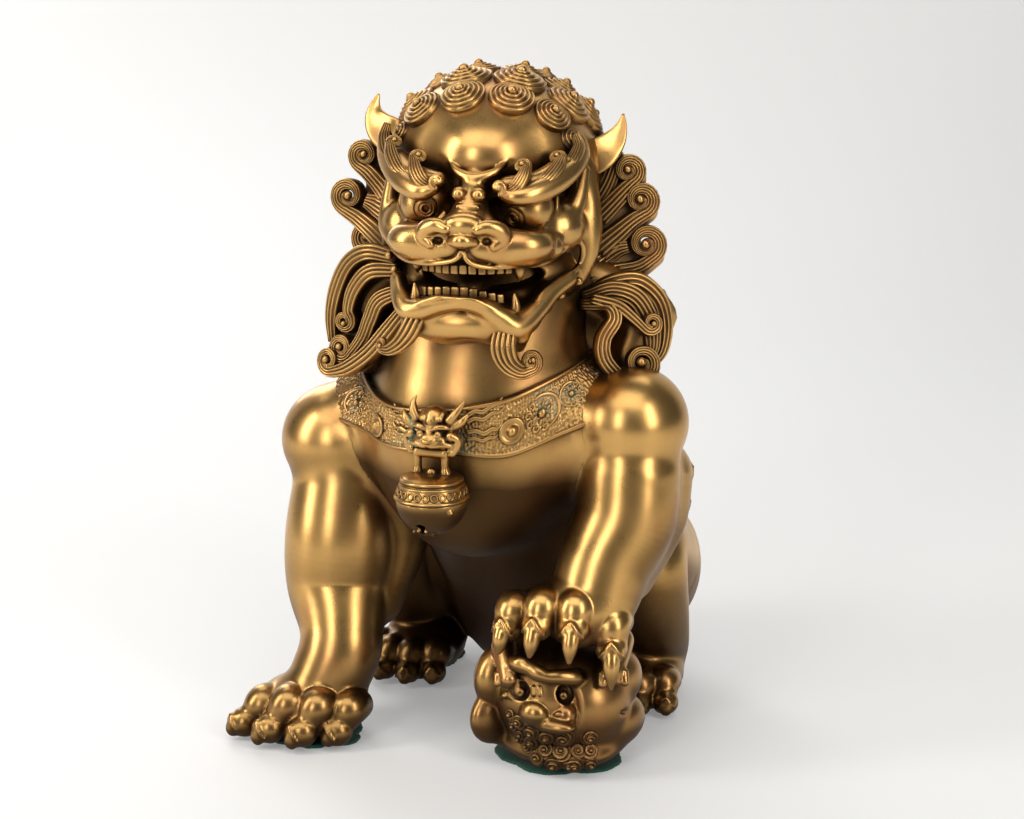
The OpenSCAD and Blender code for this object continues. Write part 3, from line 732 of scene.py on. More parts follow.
faceBalls = {  # (place, radii, fillet)
    "cranium": ((0, 2, 20), (69, 63, 61), 8),
    "forehead": ((-1, -22, 33), (60, 48, 45), 12),
    "jowls": ((0, -8, -22), (64, 46, 44), 10),
    "muzzle": ((-1, -58, -10), (50, 42, 24), 10),
    "frown ball": ((0, -59, 32), (26, 21, 20), 15),
    "cheekL": ((47, -48, -12), (17, 20, 17), 6),
    "cheekR": ((-50, -48, -12), (17, 20, 17), 6),
    "lobeL": ((24, -86, -18.5), (26, 21, 14.5), 4),
    "lobeR": ((-29, -86, -16.5), (26, 21, 14.5), 4),
}
socketCuts = {
    "left": ((27, -84, 0), (23, 15, 12.5), (-22, "Z")), "right": ((-31, -84, 3), (23, 15, 12.5), (22, "Z")),
}
faceRolls = {  # (fillet, places and radii)
    "crescent fold": (1.4, [(-17.5, -75, 31, 1.0), (-11, -82, 25, 2.6), (0.5, -86.5, 21.6, 3.8),
                            (12, -82, 25.4, 2.6),
                            (18.5, -74, 32, 1.0)]),
    "bridge": (4, [(0, -76, 17, 8.5), (-1, -87, 12, 8.5), (-1.5, -92, 3, 10), (-2, -95, -7, 11)]),
    "browShelfL": (4, [(20, -82, 17, 6), (38, -76, 18, 8), (52, -60, 26, 8)]),
    "browShelfR": (4, [(-24, -82, 19, 6), (-42, -74, 21, 8), (-56, -56, 28, 8)]),
    "lidL": (1.0, [(9, -92, 1, 1.4), (17, -92, -7, 2.0), (30, -86, -13, 2.4), (40, -76, -11, 2.4),
                   (47, -64, -4, 2.3),
                   (47, -58, 8, 2.2)]),
    "lidR": (1.0, [(-18, -91, 1, 1.4), (-22, -92, -4, 2.0), (-34, -85, -9, 2.4), (-45, -74, -6, 2.4),
                   (-52, -62, 0, 2.3),
                   (-51, -56, 12, 2.2)]),
    "bandL": (2.5, [(61, -36, 22, 4.5), (58, -45, 4, 6.5), (51, -56, -12, 7), (42, -68, -22, 7)]),
    "bandR": (2.5, [(-61, -44, 16, 4.5), (-62, -46, 0, 7), (-62, -50, -14, 7.5), (-54, -62, -22, 7)]),
    "outerBandL": (10, [(60, -20, 20, 5), (62, -22, 2, 8), (63, -24, -15, 9), (62, -26, -32, 8),
                        (58, -28, -48, 5)]),
    "outerBandR": (10, [(-62, -20, 22, 5), (-64, -22, 2, 8), (-65, -24, -15, 9), (-64, -26, -32, 8),
                        (-59, -28, -48, 5)]),
    "lipL": (3.5, [(5, -102, -19, 10), (20, -96, -20, 11.5), (34, -84, -21, 11), (45, -70, -22, 8.5)]),
    "lipR": (3.5, [(-10, -102, -18, 10), (-24, -97, -18, 11.5), (-39, -84, -19, 11), (-50, -70, -21, 8.5)]),
    "rimL": (0.6, [(-1.5, -113, -20, 1.3), (0.5, -114, -25, 1.6), (6, -111.5, -28.6, 1.7),
                   (16, -106, -31, 1.8),
                   (27, -96.5, -32.2, 1.9), (38, -83, -32.3, 1.9), (46, -71, -29.6, 1.9), (52, -61, -25, 1.9),
                   (57, -52, -20.5, 1.6)]),
    "rimR": (0.6, [(-3.5, -113, -20, 1.3), (-5.4, -114, -24, 1.6), (-11, -111.5, -26.6, 1.7),
                   (-22, -106, -28.8, 1.8),
                   (-34, -95.5, -30.2, 1.9), (-45, -82, -30.4, 1.9), (-54, -69, -28, 1.9),
                   (-60, -58, -25, 1.6)]),
    "cornerL": (1.2, [(50, -62, -23, 2.2), (56, -51, -20.5, 2.3), (61, -44, -23, 2.4), (62, -42, -29, 2.4),
                      (60, -43, -36, 2.4), (57, -46, -41, 2.2)]),
    "step": (0.6, [(-7.2, -100, 5.6, 2.0), (4.2, -100, 5.2, 2.0)]),
    "wingL": (0.9, [(7, -114, -6.5, 3.4), (13, -111.5, -5.0, 4.8), (19.5, -107.5, -7.8, 5.6),
                    (21, -106, -13, 5.0),
                    (16.5, -109, -17, 3.4)]),
    "wingR": (0.9, [(-12.5, -115, -6.1, 3.4), (-18.5, -112.5, -4.4, 4.8), (-25.5, -108.5, -7, 5.6),
                    (-27.5, -107, -12, 5.0),
                    (-23, -110, -16, 3.4)]),
    "septum": (0.9, [(-9.5, -112, -14, 3.0), (-2.6, -115, -13.2, 4.8), (4.5, -112, -14.4, 3.0)]),
}

face = Form()
for place, radii, soft in faceBalls.values():
    face.ball(place, radii, soft)
for place, radii, turn in socketCuts.values():
    face.ball(place, radii, 4, turn, cut=True)
for soft, balls in faceRolls.values():
    face.bend(balls, soft)
face.ball((-7.4, -97.5, 13.2), 4.5, 0.5).ball((4.8, -97.5, 12.7), 4.6, 0.5)
face.ball((-2.6, -107.5, -5.2), (14, 10.5, 8.6), 0.8, (-20, "X"))  # the nose's shield
for side, x in ((1, 12.4), (-1, -18.4)):  # nostrils, opening downwards
    face.ball((x, -105, -10.8), (7.4, 6.4, 6.4), 2)
    face.ball((x - side * 0.4, -112, -14.0), (3.2, 5, 2.4), 0.8, cut=True)
face.roll([(-2.5, -119, -18, 1.0), (-2.5, -116, -26, 1.3)], 1.2, cut=True)  # the cleft under the nose
face.ball((-1, -84, -41), (55, 60, 10.5), 1.5, cut=True)  # the open mouth
face.ball((54, -48, -31), (7, 9, 8), 1.5, cut=True)

jawRolls = {
    "lip": (2.5, [(-52, -70, -46, 6), (-47, -84, -54, 7), (-41, -92, -60, 7.5), (-31, -97, -59, 7),
                  (-18, -101, -54.5, 6.2),
                  (-4, -103, -52.5, 6), (8, -100, -56, 6.4), (17, -96, -63, 7.4), (27, -90.5, -69.5, 8.2),
                  (36, -79, -62, 7.6), (44, -66, -52, 6.8), (54, -53, -45, 5.6)]),
    "innerFloor": (6, [(-38, -62, -58, 12), (-4, -74, -58, 11), (34, -58, -58, 12)]),
    "rim": (0.6, [(-54, -73, -42, 1.8), (-51, -80, -49, 1.9), (-47, -91, -57, 2.0), (-38, -98.5, -57, 2.0),
                  (-26.6, -104, -52.6, 2.0), (-13.6, -108, -48.8, 2.0), (1.3, -107.5, -50.3, 2.0),
                  (14.8, -102, -57, 2.0), (22, -97.5, -63.6, 2.0), (28.5, -94, -66.6, 2.0),
                  (35, -86, -62.5, 2.0),
                  (40, -76, -52, 2.0), (47, -65, -46, 2.0), (54, -56, -42.6, 2.0), (60, -48, -38.5, 1.8)]),
    "chinL": (3, [(28, -86, -76, 7), (27, -80, -84, 4)]),
    "chinR": (3, [(-41, -88, -70, 6), (-42, -82, -77, 3.5)]),
}
jaw = Form()
jaw.ball((0, -24, -46), (60, 42, 30), 8)
for soft, balls in jawRolls.values():
    jaw.bend(balls, soft)
jaw.ball((-1, -84, -41), (48, 52, 9), 1.5, cut=True)
jaw.ball((-5, -74, -68), (45, 28, 18), 4)
jaw.ball((-3, -94, -96), (19, 28, 17), 4, cut=True)  # the arch under the chin

casting("head", face, [jaw], (-86, -124, -62), (86, 72, 88), 1.18, soft=3.0, headFrame=True, rounds=2)
casting("lower_jaw", jaw, [face], (-72, -118, -96), (72, 26, -14), 1.12, soft=3.0, headFrame=True, rounds=2)

eyePlan = {
    "radius": 16.5, "iris": 0.43, "pupil": 0.13,
    "left_eye": ((30.5, -68, 1.5), (23.4, -82.5, -3.4)),
           "right_eye": ((-34.3, -67.5, 4.0), (-31.5, -82.5, 1.9)),
}


def eyeball(node):
    # a ball with a raised iris ring and a drilled pupil
    centre, iris = (ofHead(p) for p in eyePlan[node])
    look = Vector(iris - centre).normalized()
    spin = np.array(look.to_track_quat("Z", "Y").to_matrix())
    a = np.concatenate([np.linspace(0.02, 0.62, 46), np.linspace(0.66, math.pi - 0.02, 34)])
    r = np.full(len(a), eyePlan["radius"])
    edge, hole = eyePlan["iris"], eyePlan["pupil"]
    r += 0.9 * (a < edge) * np.clip((edge - a) / 0.03, 0, 1)
    r -= 0.9 * np.exp(-((a - edge - 0.035) / 0.022) ** 2)
    r -= 0.7 * np.exp(-((a - hole - 0.12) / 0.02) ** 2)
    r -= 4.0 * np.clip((hole + 0.02 - a) / 0.04, 0, 1)
    piece = lathe(node, [(r[i] * math.sin(a[i]), r[i] * math.cos(a[i])) for i in range(len(a))], 56, eyeBrass,
                  lambda q: q @ spin.T + centre)
    return onStatue(piece, node)


eyeball("left_eye")
eyeball("right_eye")

toothPlan = {
    "wide": 5.0, "tall": 6.2, "thick": 3.8,
    "upper": [(-30, -88), (-25, -92), (-20, -96), (-15, -99), (-9.5, -101), (-4, -102), (1.5, -101.5),
              (7, -99.5),
              (12, -96.5), (17, -93), (21.5, -89)],
    "lower": [(-30.5, -91.5), (-25.5, -94.5), (-20.5, -97), (-15, -98.5), (-9.5, -99.2), (-4, -99.2),
              (1.5, -98.5),
              (7, -96.5), (12, -93.5), (16.5, -90)],
    "fangs": [(27.5, -85, -31, -42), (-37, -84, -29, -38)],
    "canines": [(25.5, -87.5, -62, -49.5), (-37, -91, -56, -44)],
}


def toothRow(node, places, topZ, down, hooks):
    # small blocks with rounded corners, and the pointed teeth at the ends
    teeth = Form()
    for k, (x, y) in enumerate(places):
        z = topZ(x)
        turn = math.degrees(math.atan2(x + 4, -y - 60))
        teeth.block((x, y, z), (toothPlan["wide"] / 2, toothPlan["thick"] / 2, toothPlan["tall"] / 2), 0.8,
                    turn)
    for x, y, root, tip in hooks:
        lean = 1.2 if down else -1.2
        teeth.bend([(x, y, root, 4.0), (x + 0.6, y - 0.5, root * 0.55 + tip * 0.45, 3.2),
                    (x, y + lean, tip, 0.9)], 0.5)
    grid = Grid((-46, -110, -70), (36, -74, -24), 0.62)
    # the upper teeth take the darker brass as painted shade
    piece = skin(node, teeth.on(grid), grid, darkBrass if down else brass, rounds=1, headFrame=True)
    return onStatue(piece, node)


toothRow("upper_teeth", toothPlan["upper"], lambda x: -32.6 - abs(x + 3) * 0.04, True, toothPlan["fangs"])
toothRow("lower_teeth", toothPlan["lower"], lambda x: -47.0 - max(0, x + 2) * 0.30 - max(0, -x - 14) * 0.10,
         False,
         toothPlan["canines"])

tongueForm = Form().bend([(-4, -30, -50, 13), (-4, -56, -47, 12), (-4, -76, -48, 9), (-4, -84, -50, 5)], 3)
tongueGrid = Grid((-24, -96, -64), (18, -14, -30), 1.3)
onStatue(skin("tongue", tongueForm.on(tongueGrid), tongueGrid, darkBrass, headFrame=True), "tongue")
print("face done")

earPlan = {  # (place, half width, half thickness) from root to tip, and the hollow's depth
    "left_ear": [((52, -8, 25), 12, 6), ((62, -10, 27), 11.5, 6), ((70.5, -7, 32), 10.5, 5.2),
                 ((77, -2, 39), 7.6, 4.2),
                 ((80.5, 2, 47), 4.0, 3), ((81.5, 5, 55), 0.8, 0.8)],
    "right_ear": [((-58, -6, 35), 13, 6), ((-69, -8, 39), 12.5, 6), ((-78, -5, 44.5), 11, 5.2),
                  ((-83, -1, 51.5), 7.8, 4.2),
                  ((-83.8, 3, 58.5), 4.0, 3), ((-81.5, 5, 66), 0.8, 0.8)],
    "hollow": 3.4,
}


def ear(node):
    # a pointed leaf, dished towards the front
    rows = smoothPath([(*p, w, t) for p, w, t in earPlan[node]], 6)
    around = np.linspace(0, 2 * math.pi, 36, endpoint=False)
    points = []
    for i, row in enumerate(rows):
        along = rows[min(i + 1, len(rows) - 1)][:3] - rows[max(i - 1, 0)][:3]
        along /= np.linalg.norm(along)
        front = np.array([0.25 if node == "left_ear" else -0.25, -1.0, 0.15])
        front -= along * (front @ along)
        front /= np.linalg.norm(front)
        side = np.cross(along, front)
        for a in around:
            u, f = math.cos(a), math.sin(a)
            dish = earPlan["hollow"] * (1 - u * u) * (f > 0) * row[4] / 6
            points.append(ofHead(row[:3] + side * u * row[3] + front * (f * row[4] - 1.35 * dish)))
    return onStatue(tube(node, points, len(rows), len(around), brass), node)


ear("left_ear")
ear("right_ear")

browPlan = {  # body of each brow, then its tufts: strands from a root line up to a ball
    "left_brow": {
        "body": [(19.5, -93, 12.5, 3.6), (28, -92, 11.5, 6.0), (38, -85, 13.5, 7.4), (48, -73, 18.5, 7.6),
                 (56, -60, 25, 7.0), (60.5, -47, 32, 5.8), (60.5, -40, 39, 4.0), (58, -39, 45, 2.2)],
        "curl": ((16.6, -95.5, 17.2), 4.4, 1),
        "tufts": [([(21, -95, 14, 3), (27, -95, 17, 5), (31, -91, 23, 5), (33, -86, 29, 3)], 5,
                   (3.6, 1.3, 1)),
                  ([(38, -87, 18, 3), (45, -82, 22, 5), (50, -74, 28, 5), (52, -68, 33, 3)], 5,
                   (3.6, 1.3, 1)),
                  ([(50, -72, 22, 3), (57, -62, 30, 5), (60, -52, 38, 4.5), (57, -46, 45, 3)], 5, None)],
    },
    "right_brow": {
        "body": [(-24, -92.5, 15.4, 3.6), (-33, -90, 13.5, 6.0), (-43, -81, 16.5, 7.4), (-53, -68, 21.5, 7.6),
                 (-61.5, -54, 28.5, 6.6), (-66, -44, 35.5, 5.2), (-66, -38, 43, 3.4)],
        "curl": ((-21.4, -95, 20.4), 4.4, -1),
        "tufts": [([(-26, -94, 17, 3), (-32, -94, 20, 5), (-37, -89, 26, 5), (-40, -82, 33, 3)], 5,
                   (3.6, 1.3, -1)),
                  ([(-44, -83, 22, 3), (-51, -77, 26, 5), (-57, -68, 33, 5), (-60, -60, 40, 3)], 5,
                   (3.4, 1.3, -1)),
                  ([(-55, -66, 27, 3), (-63, -56, 34, 5), (-67, -46, 42, 4.5), (-66, -40, 50, 3)], 5, None)],
    },
}


def brow(node):
    plan, shape, heap = browPlan[node], Form(), Heap(node)
    shape.bend(plan["body"], 1.0)
    (cx, cy, cz), size, hand = plan["curl"]
    spiral = [(cx + hand * size * (1 - k / 12) * math.cos(-1.2 + k * 0.62), cy - 0.3 * k * 0.4,
               cz + size * (1 - k / 12) * math.sin(-1.2 + k * 0.62), 2.3 - 0.07 * k) for k in range(11)]
    shape.bend(spiral, 0.4, steps=3).ball((cx, cy - 1.6, cz), 2.3, 0.3)
    low = np.array(plan["body"])[:, :3].min(0) - 12
    high = np.array(plan["body"])[:, :3].max(0) + 14
    grid = Grid(low, high, 0.66)
    heap.take(skin(node, shape.on(grid), grid, brass, rounds=1, headFrame=True))
    for path, strands, curl in plan["tufts"]:
        path = [(x, y + 2.5, z, w * 0.9) for x, y, z, w in path]
        lock(heap, path, (-0.3 * hand, -1, 0.35), strands, 2.2, curl and (*curl[:2], -hand))
    return onStatue(heap.make(brass), node)


brow("left_brow")
brow("right_brow")
print("ears and brows done")


def laid(path, form, hand, lift=1.0):
    # moves a path sideways onto a form's outside; only its y, z and width count
    return [(seat(form, (hand * 40, y, z), (hand * 160, y, z))[0][0] + hand * lift, y, z, w)
            for _, y, z, w in path]


crownPlan = {  # (direction from the skull's middle, radius)
    "middle": (0, -2, 14),
    "front": [((-15, -50, 71), 13.5), ((17, -50, 70), 13.5), ((40, -42, 56), 11.5), ((52, -40, 42), 7.5),
                 ((-45, -46, 64), 12.5), ((-59, -40, 47), 7.0), ((-18, -28, 84), 15.5), ((20, -28, 83), 15.5),
                 ((51, -20, 65), 14.5), ((-56, -26, 68), 13), ((-43, 0, 82), 13.5), ((-14, 2, 88), 14),
                 ((18, 2, 87), 14), ((46, 4, 76), 14), ((66, 6, 56), 12), ((-66, 2, 58), 12)],
    "behind": [(62, (-55, 0, 55), 14.5), (38, (-84, -42, 0, 42, 84), 15), (10, (-76, -38, 0, 38, 76), 15),
                    (-18, (-60, -20, 20, 60), 14.5)],  # (degrees up, degrees round from the back, radius)
}


def crown():
    heap = Heap("crown_curls")
    middle = np.array(crownPlan["middle"], float)
    places = [(np.array(p, float) - middle, r) for p, r in crownPlan["front"]]
    for up, rounds_, r in crownPlan["behind"]:
        for a in rounds_:
            a, e = math.radians(a), math.radians(up)
            places.append((np.array([math.cos(e) * math.sin(a), math.cos(e) * math.cos(a), math.sin(e)]), r))
    for k, (way, r) in enumerate(places):
        p, n = seat(face, middle, middle + way)
        lean = n + 0.15 * np.array([0, 0, 1.0]) + 0.1 * (p - middle) / np.linalg.norm(p - middle)
        snailCurl(heap, ofHead(p + n * 0.4), headDir(lean), r * 1.08, 1 if p[0] > 0 else -1, 0.13 * k)
    return onStatue(heap.make(hairBrass), "crown_curls")


crown()

def addMass(heap, form, corners, margin):
    # the solid hair under the locks
    corners = np.array(corners)[:, :3]
    grid = Grid(corners.min(0) - margin, corners.max(0) + margin, 2.0)
    heap.take(skin("mass", form.on(grid), grid, hairBrass, headFrame=True))


ruffSide = [([(58, 24, 24, 7), (66, 34, 12, 6), (70, 44, 2, 5)], 4, (9, 1.4)),
            ([(58, 24, -6, 7), (68, 36, -14, 6), (72, 46, -22, 5)], 4, (9, 1.4)),
            ([(54, 22, -34, 7), (66, 32, -42, 6), (72, 42, -50, 5)], 4, (9, 1.4))]
ruffPlan = {  # beside the cheeks; paths of [x, y, z, half width]
    "left_side_scrolls": {
        "front": (0.35, -1, 0.1), "hand": 1,
        "locks": [([(66, 0, -12, 6), (74, 6, -4, 5.5), (81, 14, 3, 5), (87.5, 20, 9, 4)], 4, (7.5, 1.35)),
                  ([(66, -2, -34, 7), (77, 8, -25, 6), (86, 18, -18, 5), (94.5, 24, -13, 4.2)], 4,
                   (8.5, 1.35)),
                  ([(62, -14, -54, 5), (76, -2, -49, 5), (90, 12, -48, 4.6), (100, 22, -42, 4)], 4,
                   (9.5, 1.5)),
                  ([(62, 4, -6, 5), (70, 10, 8, 5), (74, 18, 22, 4)], 4, (7, 1.3)),
                  ([(60, -6, -44, 7), (68, 0, -38, 7), (76, 8, -34, 6), (84, 14, -33, 4)], 5, None)],
        "mass": [(56, 22, 28, 15), (66, 24, 8, 18), (72, 24, -16, 19), (70, 20, -38, 18), (60, 14, -56, 16)],
    },
    "right_side_scrolls": {
        "front": (-0.35, -1, 0.1), "hand": -1,
        "locks": [([(-68, -4, -8, 6), (-79, 6, 3, 5.5), (-89, 14, 11, 5), (-97, 18, 15.5, 4)], 4,
                   (7.5, 1.35)),
                  ([(-67, -20, -34, 6), (-81, -6, -26, 6), (-96, 10, -19, 5), (-109, 20, -14, 4)], 4,
                   (9, 1.4)),
                  ([(-64, -10, -18, 7), (-74, -2, -12, 7), (-84, 6, -8, 6), (-92, 10, -6, 4)], 5, None),
                  ([(-66, 0, 8, 5), (-74, 10, 20, 5), (-78, 18, 32, 4)], 4, (7, 1.3)),
                  ([(-64, -12, -42, 6), (-80, 0, -42, 5.5), (-93, 12, -40, 4.5)], 4, (8, 1.4))],
        "mass": [(-58, 22, 32, 15), (-68, 24, 10, 18), (-76, 22, -12, 19), (-72, 18, -34, 18),
                 (-60, 12, -50, 16)],
    },
}


def ruff(node):
    plan, heap = ruffPlan[node], Heap(node)
    hand = plan["hand"]
    mass = Form().bend(plan["mass"], 4)
    for path, strands, curl in plan["locks"]:
        path = np.array(path, float)
        path[:, :3] += np.maximum(path[:, 1:2] - 2, 0) * [0.15, -0.85, 0.2]
        path[:, 3] *= 1.3
        lock(heap, path, plan["front"], strands + 1, 4.6, curl and (curl[0] * 1.12, curl[1], -hand))
        mass.bend([(x - hand * 1.5, y + 9, z - 1, w + 2.5) for x, y, z, w in path], 7)
    for path, strands, curl in ruffSide:
        lock(heap, laid(path, mass, hand), (hand, 0.25, 0.1), strands + 1, 4.0, (*curl, hand))
    addMass(heap, mass, plan["mass"], 40)
    return onStatue(heap.make(hairBrass), node)


ruff("left_side_scrolls")
ruff("right_side_scrolls")

manePlan = {  # long locks on the shoulders, in the head's frame
    "left_mane_lock": {
        "front": (0.45, -1, 0.15), "hand": 1,
        "locks": [([(60, -14, -62, 6), (77, -14, -54, 6.5), (93, -8, -53, 7), (106, -4, -64, 6.5),
                    (111, -4, -80, 6),
                    (110, -10, -97, 5), (103, -16, -108, 3)], 4, None),
                  ([(60, -20, -62, 5), (78, -20, -57, 6.5), (93, -15, -63, 7.5), (102, -14, -79, 7),
                    (104, -17, -95, 5.5),
                    (98, -22, -104, 3)], 5, None),
                  ([(60, -24, -66, 4), (76, -27, -66, 5), (81, -31, -74, 5.5), (75, -37, -86, 5.5),
                    (76, -39, -99, 5.5),
                    (86, -36, -111, 5.2), (97, -32, -113.5, 4.6)], 4, (11, 1.6)),
                  ([(66, -26, -62, 4), (82, -27, -66, 4.5), (92, -25, -74, 4), (100, -23, -82, 3.4)], 3,
                   (6.2, 1.3))],
        "side": [([(100, 2, -62, 7), (106, 8, -84, 7), (104, 8, -104, 6)], 4, (9, 1.4)),
                 ([(84, 14, -58, 7), (94, 22, -82, 7), (96, 24, -104, 6)], 4, (9, 1.4))],
        "mass": [(50, 0, -50, 18), (84, 2, -68, 20), (92, -2, -86, 18), (88, -10, -104, 15)],
    },
    "right_mane_lock": {
        "front": (-0.45, -1, 0.15), "hand": -1,
        "locks": [([(-60, -40, -36, 5), (-80, -34, -34, 6), (-95, -24, -43, 6.5), (-105, -18, -61, 6.5),
                    (-109, -18, -80, 5.5), (-108, -20, -97, 4)], 4, None),
                  ([(-58, -42, -44, 5), (-77, -38, -46, 6), (-89, -32, -58, 6), (-94, -30, -72, 5),
                    (-92, -30, -79, 4)], 4,
                   (6.4, 1.35)),
                  ([(-52, -46, -56, 5), (-70, -42, -64, 6.5), (-77, -40, -77, 6.5), (-83, -38, -91, 6),
                    (-93, -35, -104, 5)], 5, (8.4, 1.5)),
                  ([(-50, -50, -66, 5), (-63, -50, -82, 6), (-77, -46, -98, 6), (-93, -40, -110, 5.5),
                    (-106, -34, -115, 4)], 4, (8.0, 1.4))],
        "side": [([(-100, 0, -58, 7), (-106, 6, -80, 7), (-104, 6, -100, 6)], 4, (9, 1.4)),
                 ([(-84, 14, -56, 7), (-94, 22, -80, 7), (-96, 24, -102, 6)], 4, (9, 1.4))],
        "mass": [(-50, -6, -46, 18), (-82, -6, -62, 20), (-90, -8, -84, 18), (-86, -14, -104, 15)],
    },
}


def maneLock(node):
    plan, heap = manePlan[node], Heap(node)
    hand = plan["hand"]
    for path, strands, curl in plan["locks"]:
        lock(heap, path, plan["front"], strands, 4.4, curl and (*curl, -hand))
    mass = Form().bend(plan["mass"], 4).bend([(hand * 44, 4, -66, 18), (hand * 62, 2, -92, 19),
                                              (hand * 78, -4, -108, 15)], 6)
    for path, strands, curl in plan["side"]:
        lock(heap, laid(path, mass, hand), (hand, 0.25, 0.1), strands + 1, 4.0, (*curl, hand))
    addMass(heap, mass, plan["mass"], 26)
    return onStatue(heap.make(hairBrass), node)


maneLock("left_mane_lock")
maneLock("right_mane_lock")
print("crown and mane done")

napePlan = {"rows": [(352, (-70, -35, 0, 35, 70), 15), (328, (-88, -52, -17, 17, 52, 88), 15),
                     (303, (-72, -36, 0, 36, 72), 15)], "axis": (5, -6)}


def nape():
    # curls in rows over the back of the neck
    heap = Heap("back_mane")
    for z, rounds_, r in napePlan["rows"]:
        for k, a in enumerate(rounds_):
            a = math.radians(a)
            inside = np.array([*napePlan["axis"], z], float)
            p, n = seat(torso, inside, inside + np.array([math.sin(a), math.cos(a), 0]))
            snailCurl(heap, p - n * 0.5, n + np.array([0, 0, 0.1]), r, 1 if a > 0 else -1, 0.17 * k)
    return onStatue(heap.make(hairBrass), "back_mane")


nape()

beardPlan = {
    "right_beard_tuft": ([(-35, -95, -64, 6.5), (-40, -97, -74, 6.6), (-46, -95, -81.5, 5.6),
                          (-53, -91, -86.5, 4.2),
                          (-59, -86, -88, 3.0)], 4, (3.4, 1.0, 1)),
    "left_beard_tuft": ([(21, -94, -71, 7.5), (20, -97, -82, 8.4), (23, -95, -92, 7.2), (30, -91, -98, 5.4),
                         (36.5, -87, -97.5, 4.0)], 5, (5.4, 1.4, -1)),
    "thick": 3.4,
}


def beard(node):
    path, strands, curl = beardPlan[node]
    heap = Heap(node)
    lock(heap, path, (0, -1, 0.1), strands, beardPlan["thick"], curl)
    return onStatue(heap.make(brass), node)


beard("right_beard_tuft")
beard("left_beard_tuft")

jawBeads = {"places": [(-61, -58, -32), (-56, -64, -40), (-53, -68, -47.5), (60, -46, -47.5), (50, -56, -55),
                       (41, -66, -59.5)], "r": 2.9}
legCurls = {
    "shoulder": [((125, 4, 245), 12, 1), ((-136, 2, 221), 12, -1), ((126, 26, 226), 11, 1),
                 ((-132, 24, 200), 11, -1)],
    "left": [((134, -10, 189), (0.8, 0.5, 0.3), 8.5), ((133, -18, 168), (0.8, 0.55, 0.1), 7.5),
             ((129, -28, 147), (0.8, 0.6, 0), 7), ((124, -35, 126), (0.75, 0.6, 0), 6.5),
             ((118, -42, 108), (0.7, 0.7, 0), 6)],
    "right": [((-118, -2, 182), (-0.6, 0.8, 0.2), 8.5), ((-112, -4, 160), (-0.5, 0.85, 0), 8),
              ((-106, -8, 138), (-0.4, 0.9, 0), 7.5), ((-98, -16, 116), (-0.3, 0.9, 0), 7),
              ((-92, -28, 96), (-0.2, 0.9, 0), 6.5)],
}


def curlsOnBody():
    heap = Heap("shoulder_curls")
    for at, r, hand in legCurls["shoulder"]:
        form = foreL if hand > 0 else foreR
        middle = (108 * hand, -34, at[2] - 26)
        p, n = seat(form, middle, at)
        snailCurl(heap, p - n * 2, n + [0.25 * hand, 0.5, 0.1], r, hand, 0.2)
    onStatue(heap.make(hairBrass), "shoulder_curls")
    heap = Heap("foreleg_curls")
    for side, form, hand in (("left", foreL, 1), ("right", foreR, -1)):
        for k, (at, way, r) in enumerate(legCurls[side]):
            way = np.array(way, float)
            p, n = seat(form, np.array(at, float) - way * 24, np.array(at, float) + way * 30)
            snailCurl(heap, p - n * 1.5, way + n, r, hand, 0.3 * k, rings=3.4)
    onStatue(heap.make(hairBrass), "foreleg_curls")


curlsOnBody()

tailPlan = {  # paths of [x, height above the back, z, half width]
    "mass": [(0, -6, 30, 14), (0, -5, 60, 14), (0, -5, 100, 14), (0, -5, 142, 12), (0, -4, 172, 7)],
    "middle": ([(0, 5, 26, 9), (0, 5, 60, 10), (0, 6, 100, 10), (0, 6, 142, 8.5), (0, 4, 176, 5),
                (0, 2, 192, 1.5)],
               5, None),
    "pairs": [([(9, 3, 34, 6), (16, 3, 62, 6), (20, 4, 92, 5), (20, 4, 108, 4)], 4, (9, 1.5)),
              ([(8, 6, 84, 5), (15, 5, 112, 5), (17, 4, 136, 4), (15, 4, 148, 3.4)], 4, (7.5, 1.4))],
}


def onBack(path):
    # lays a path on the back
    return [(x, seat(torso, (x, 20, z), (x, 200, z), 160)[0][1] + lift, z, w) for x, lift, z, w in path]


def makeTail():
    heap = Heap("tail")
    locks = [tailPlan["middle"]]
    locks += [([(side * x, *rest) for x, *rest in path], strands, (*curl, -side))
              for path, strands, curl in tailPlan["pairs"] for side in (1, -1)]
    for path, strands, curl in locks:
        lock(heap, onBack(path), (0, 1, 0.25), strands, 3.4, curl, headFrame=False)
    mass = Form().bend(onBack(tailPlan["mass"]), 4)
    grid = Grid((-30, 70, 0), (30, 176, 200), 2.0)
    heap.take(skin("mass", mass.on(grid), grid, hairBrass))
    return onStatue(heap.make(hairBrass), "tail")


makeTail()
print("curls and tail done")

# Collar: a band laid on the chest, drawn by its top and bottom edges round the body.
collarPlan = {
    "axis": (6, -34), "thick": 3.4, "rim": 1.7, "rimWide": 0.075, "pit": 2.2, "pitDeep": 1.0,
    "top": [(-180, 300), (-135, 294), (-100, 271), (-69, 248), (-28, 240), (0, 242.5), (29, 250), (49, 259),
            (68, 266),
            (100, 277), (135, 294), (180, 300)],
    "bottom": [(-180, 271), (-135, 265), (-100, 240), (-69, 217), (-28, 212), (0, 214), (29, 211), (49, 221),
               (68, 236), (100, 249), (135, 265), (180, 271)],
}


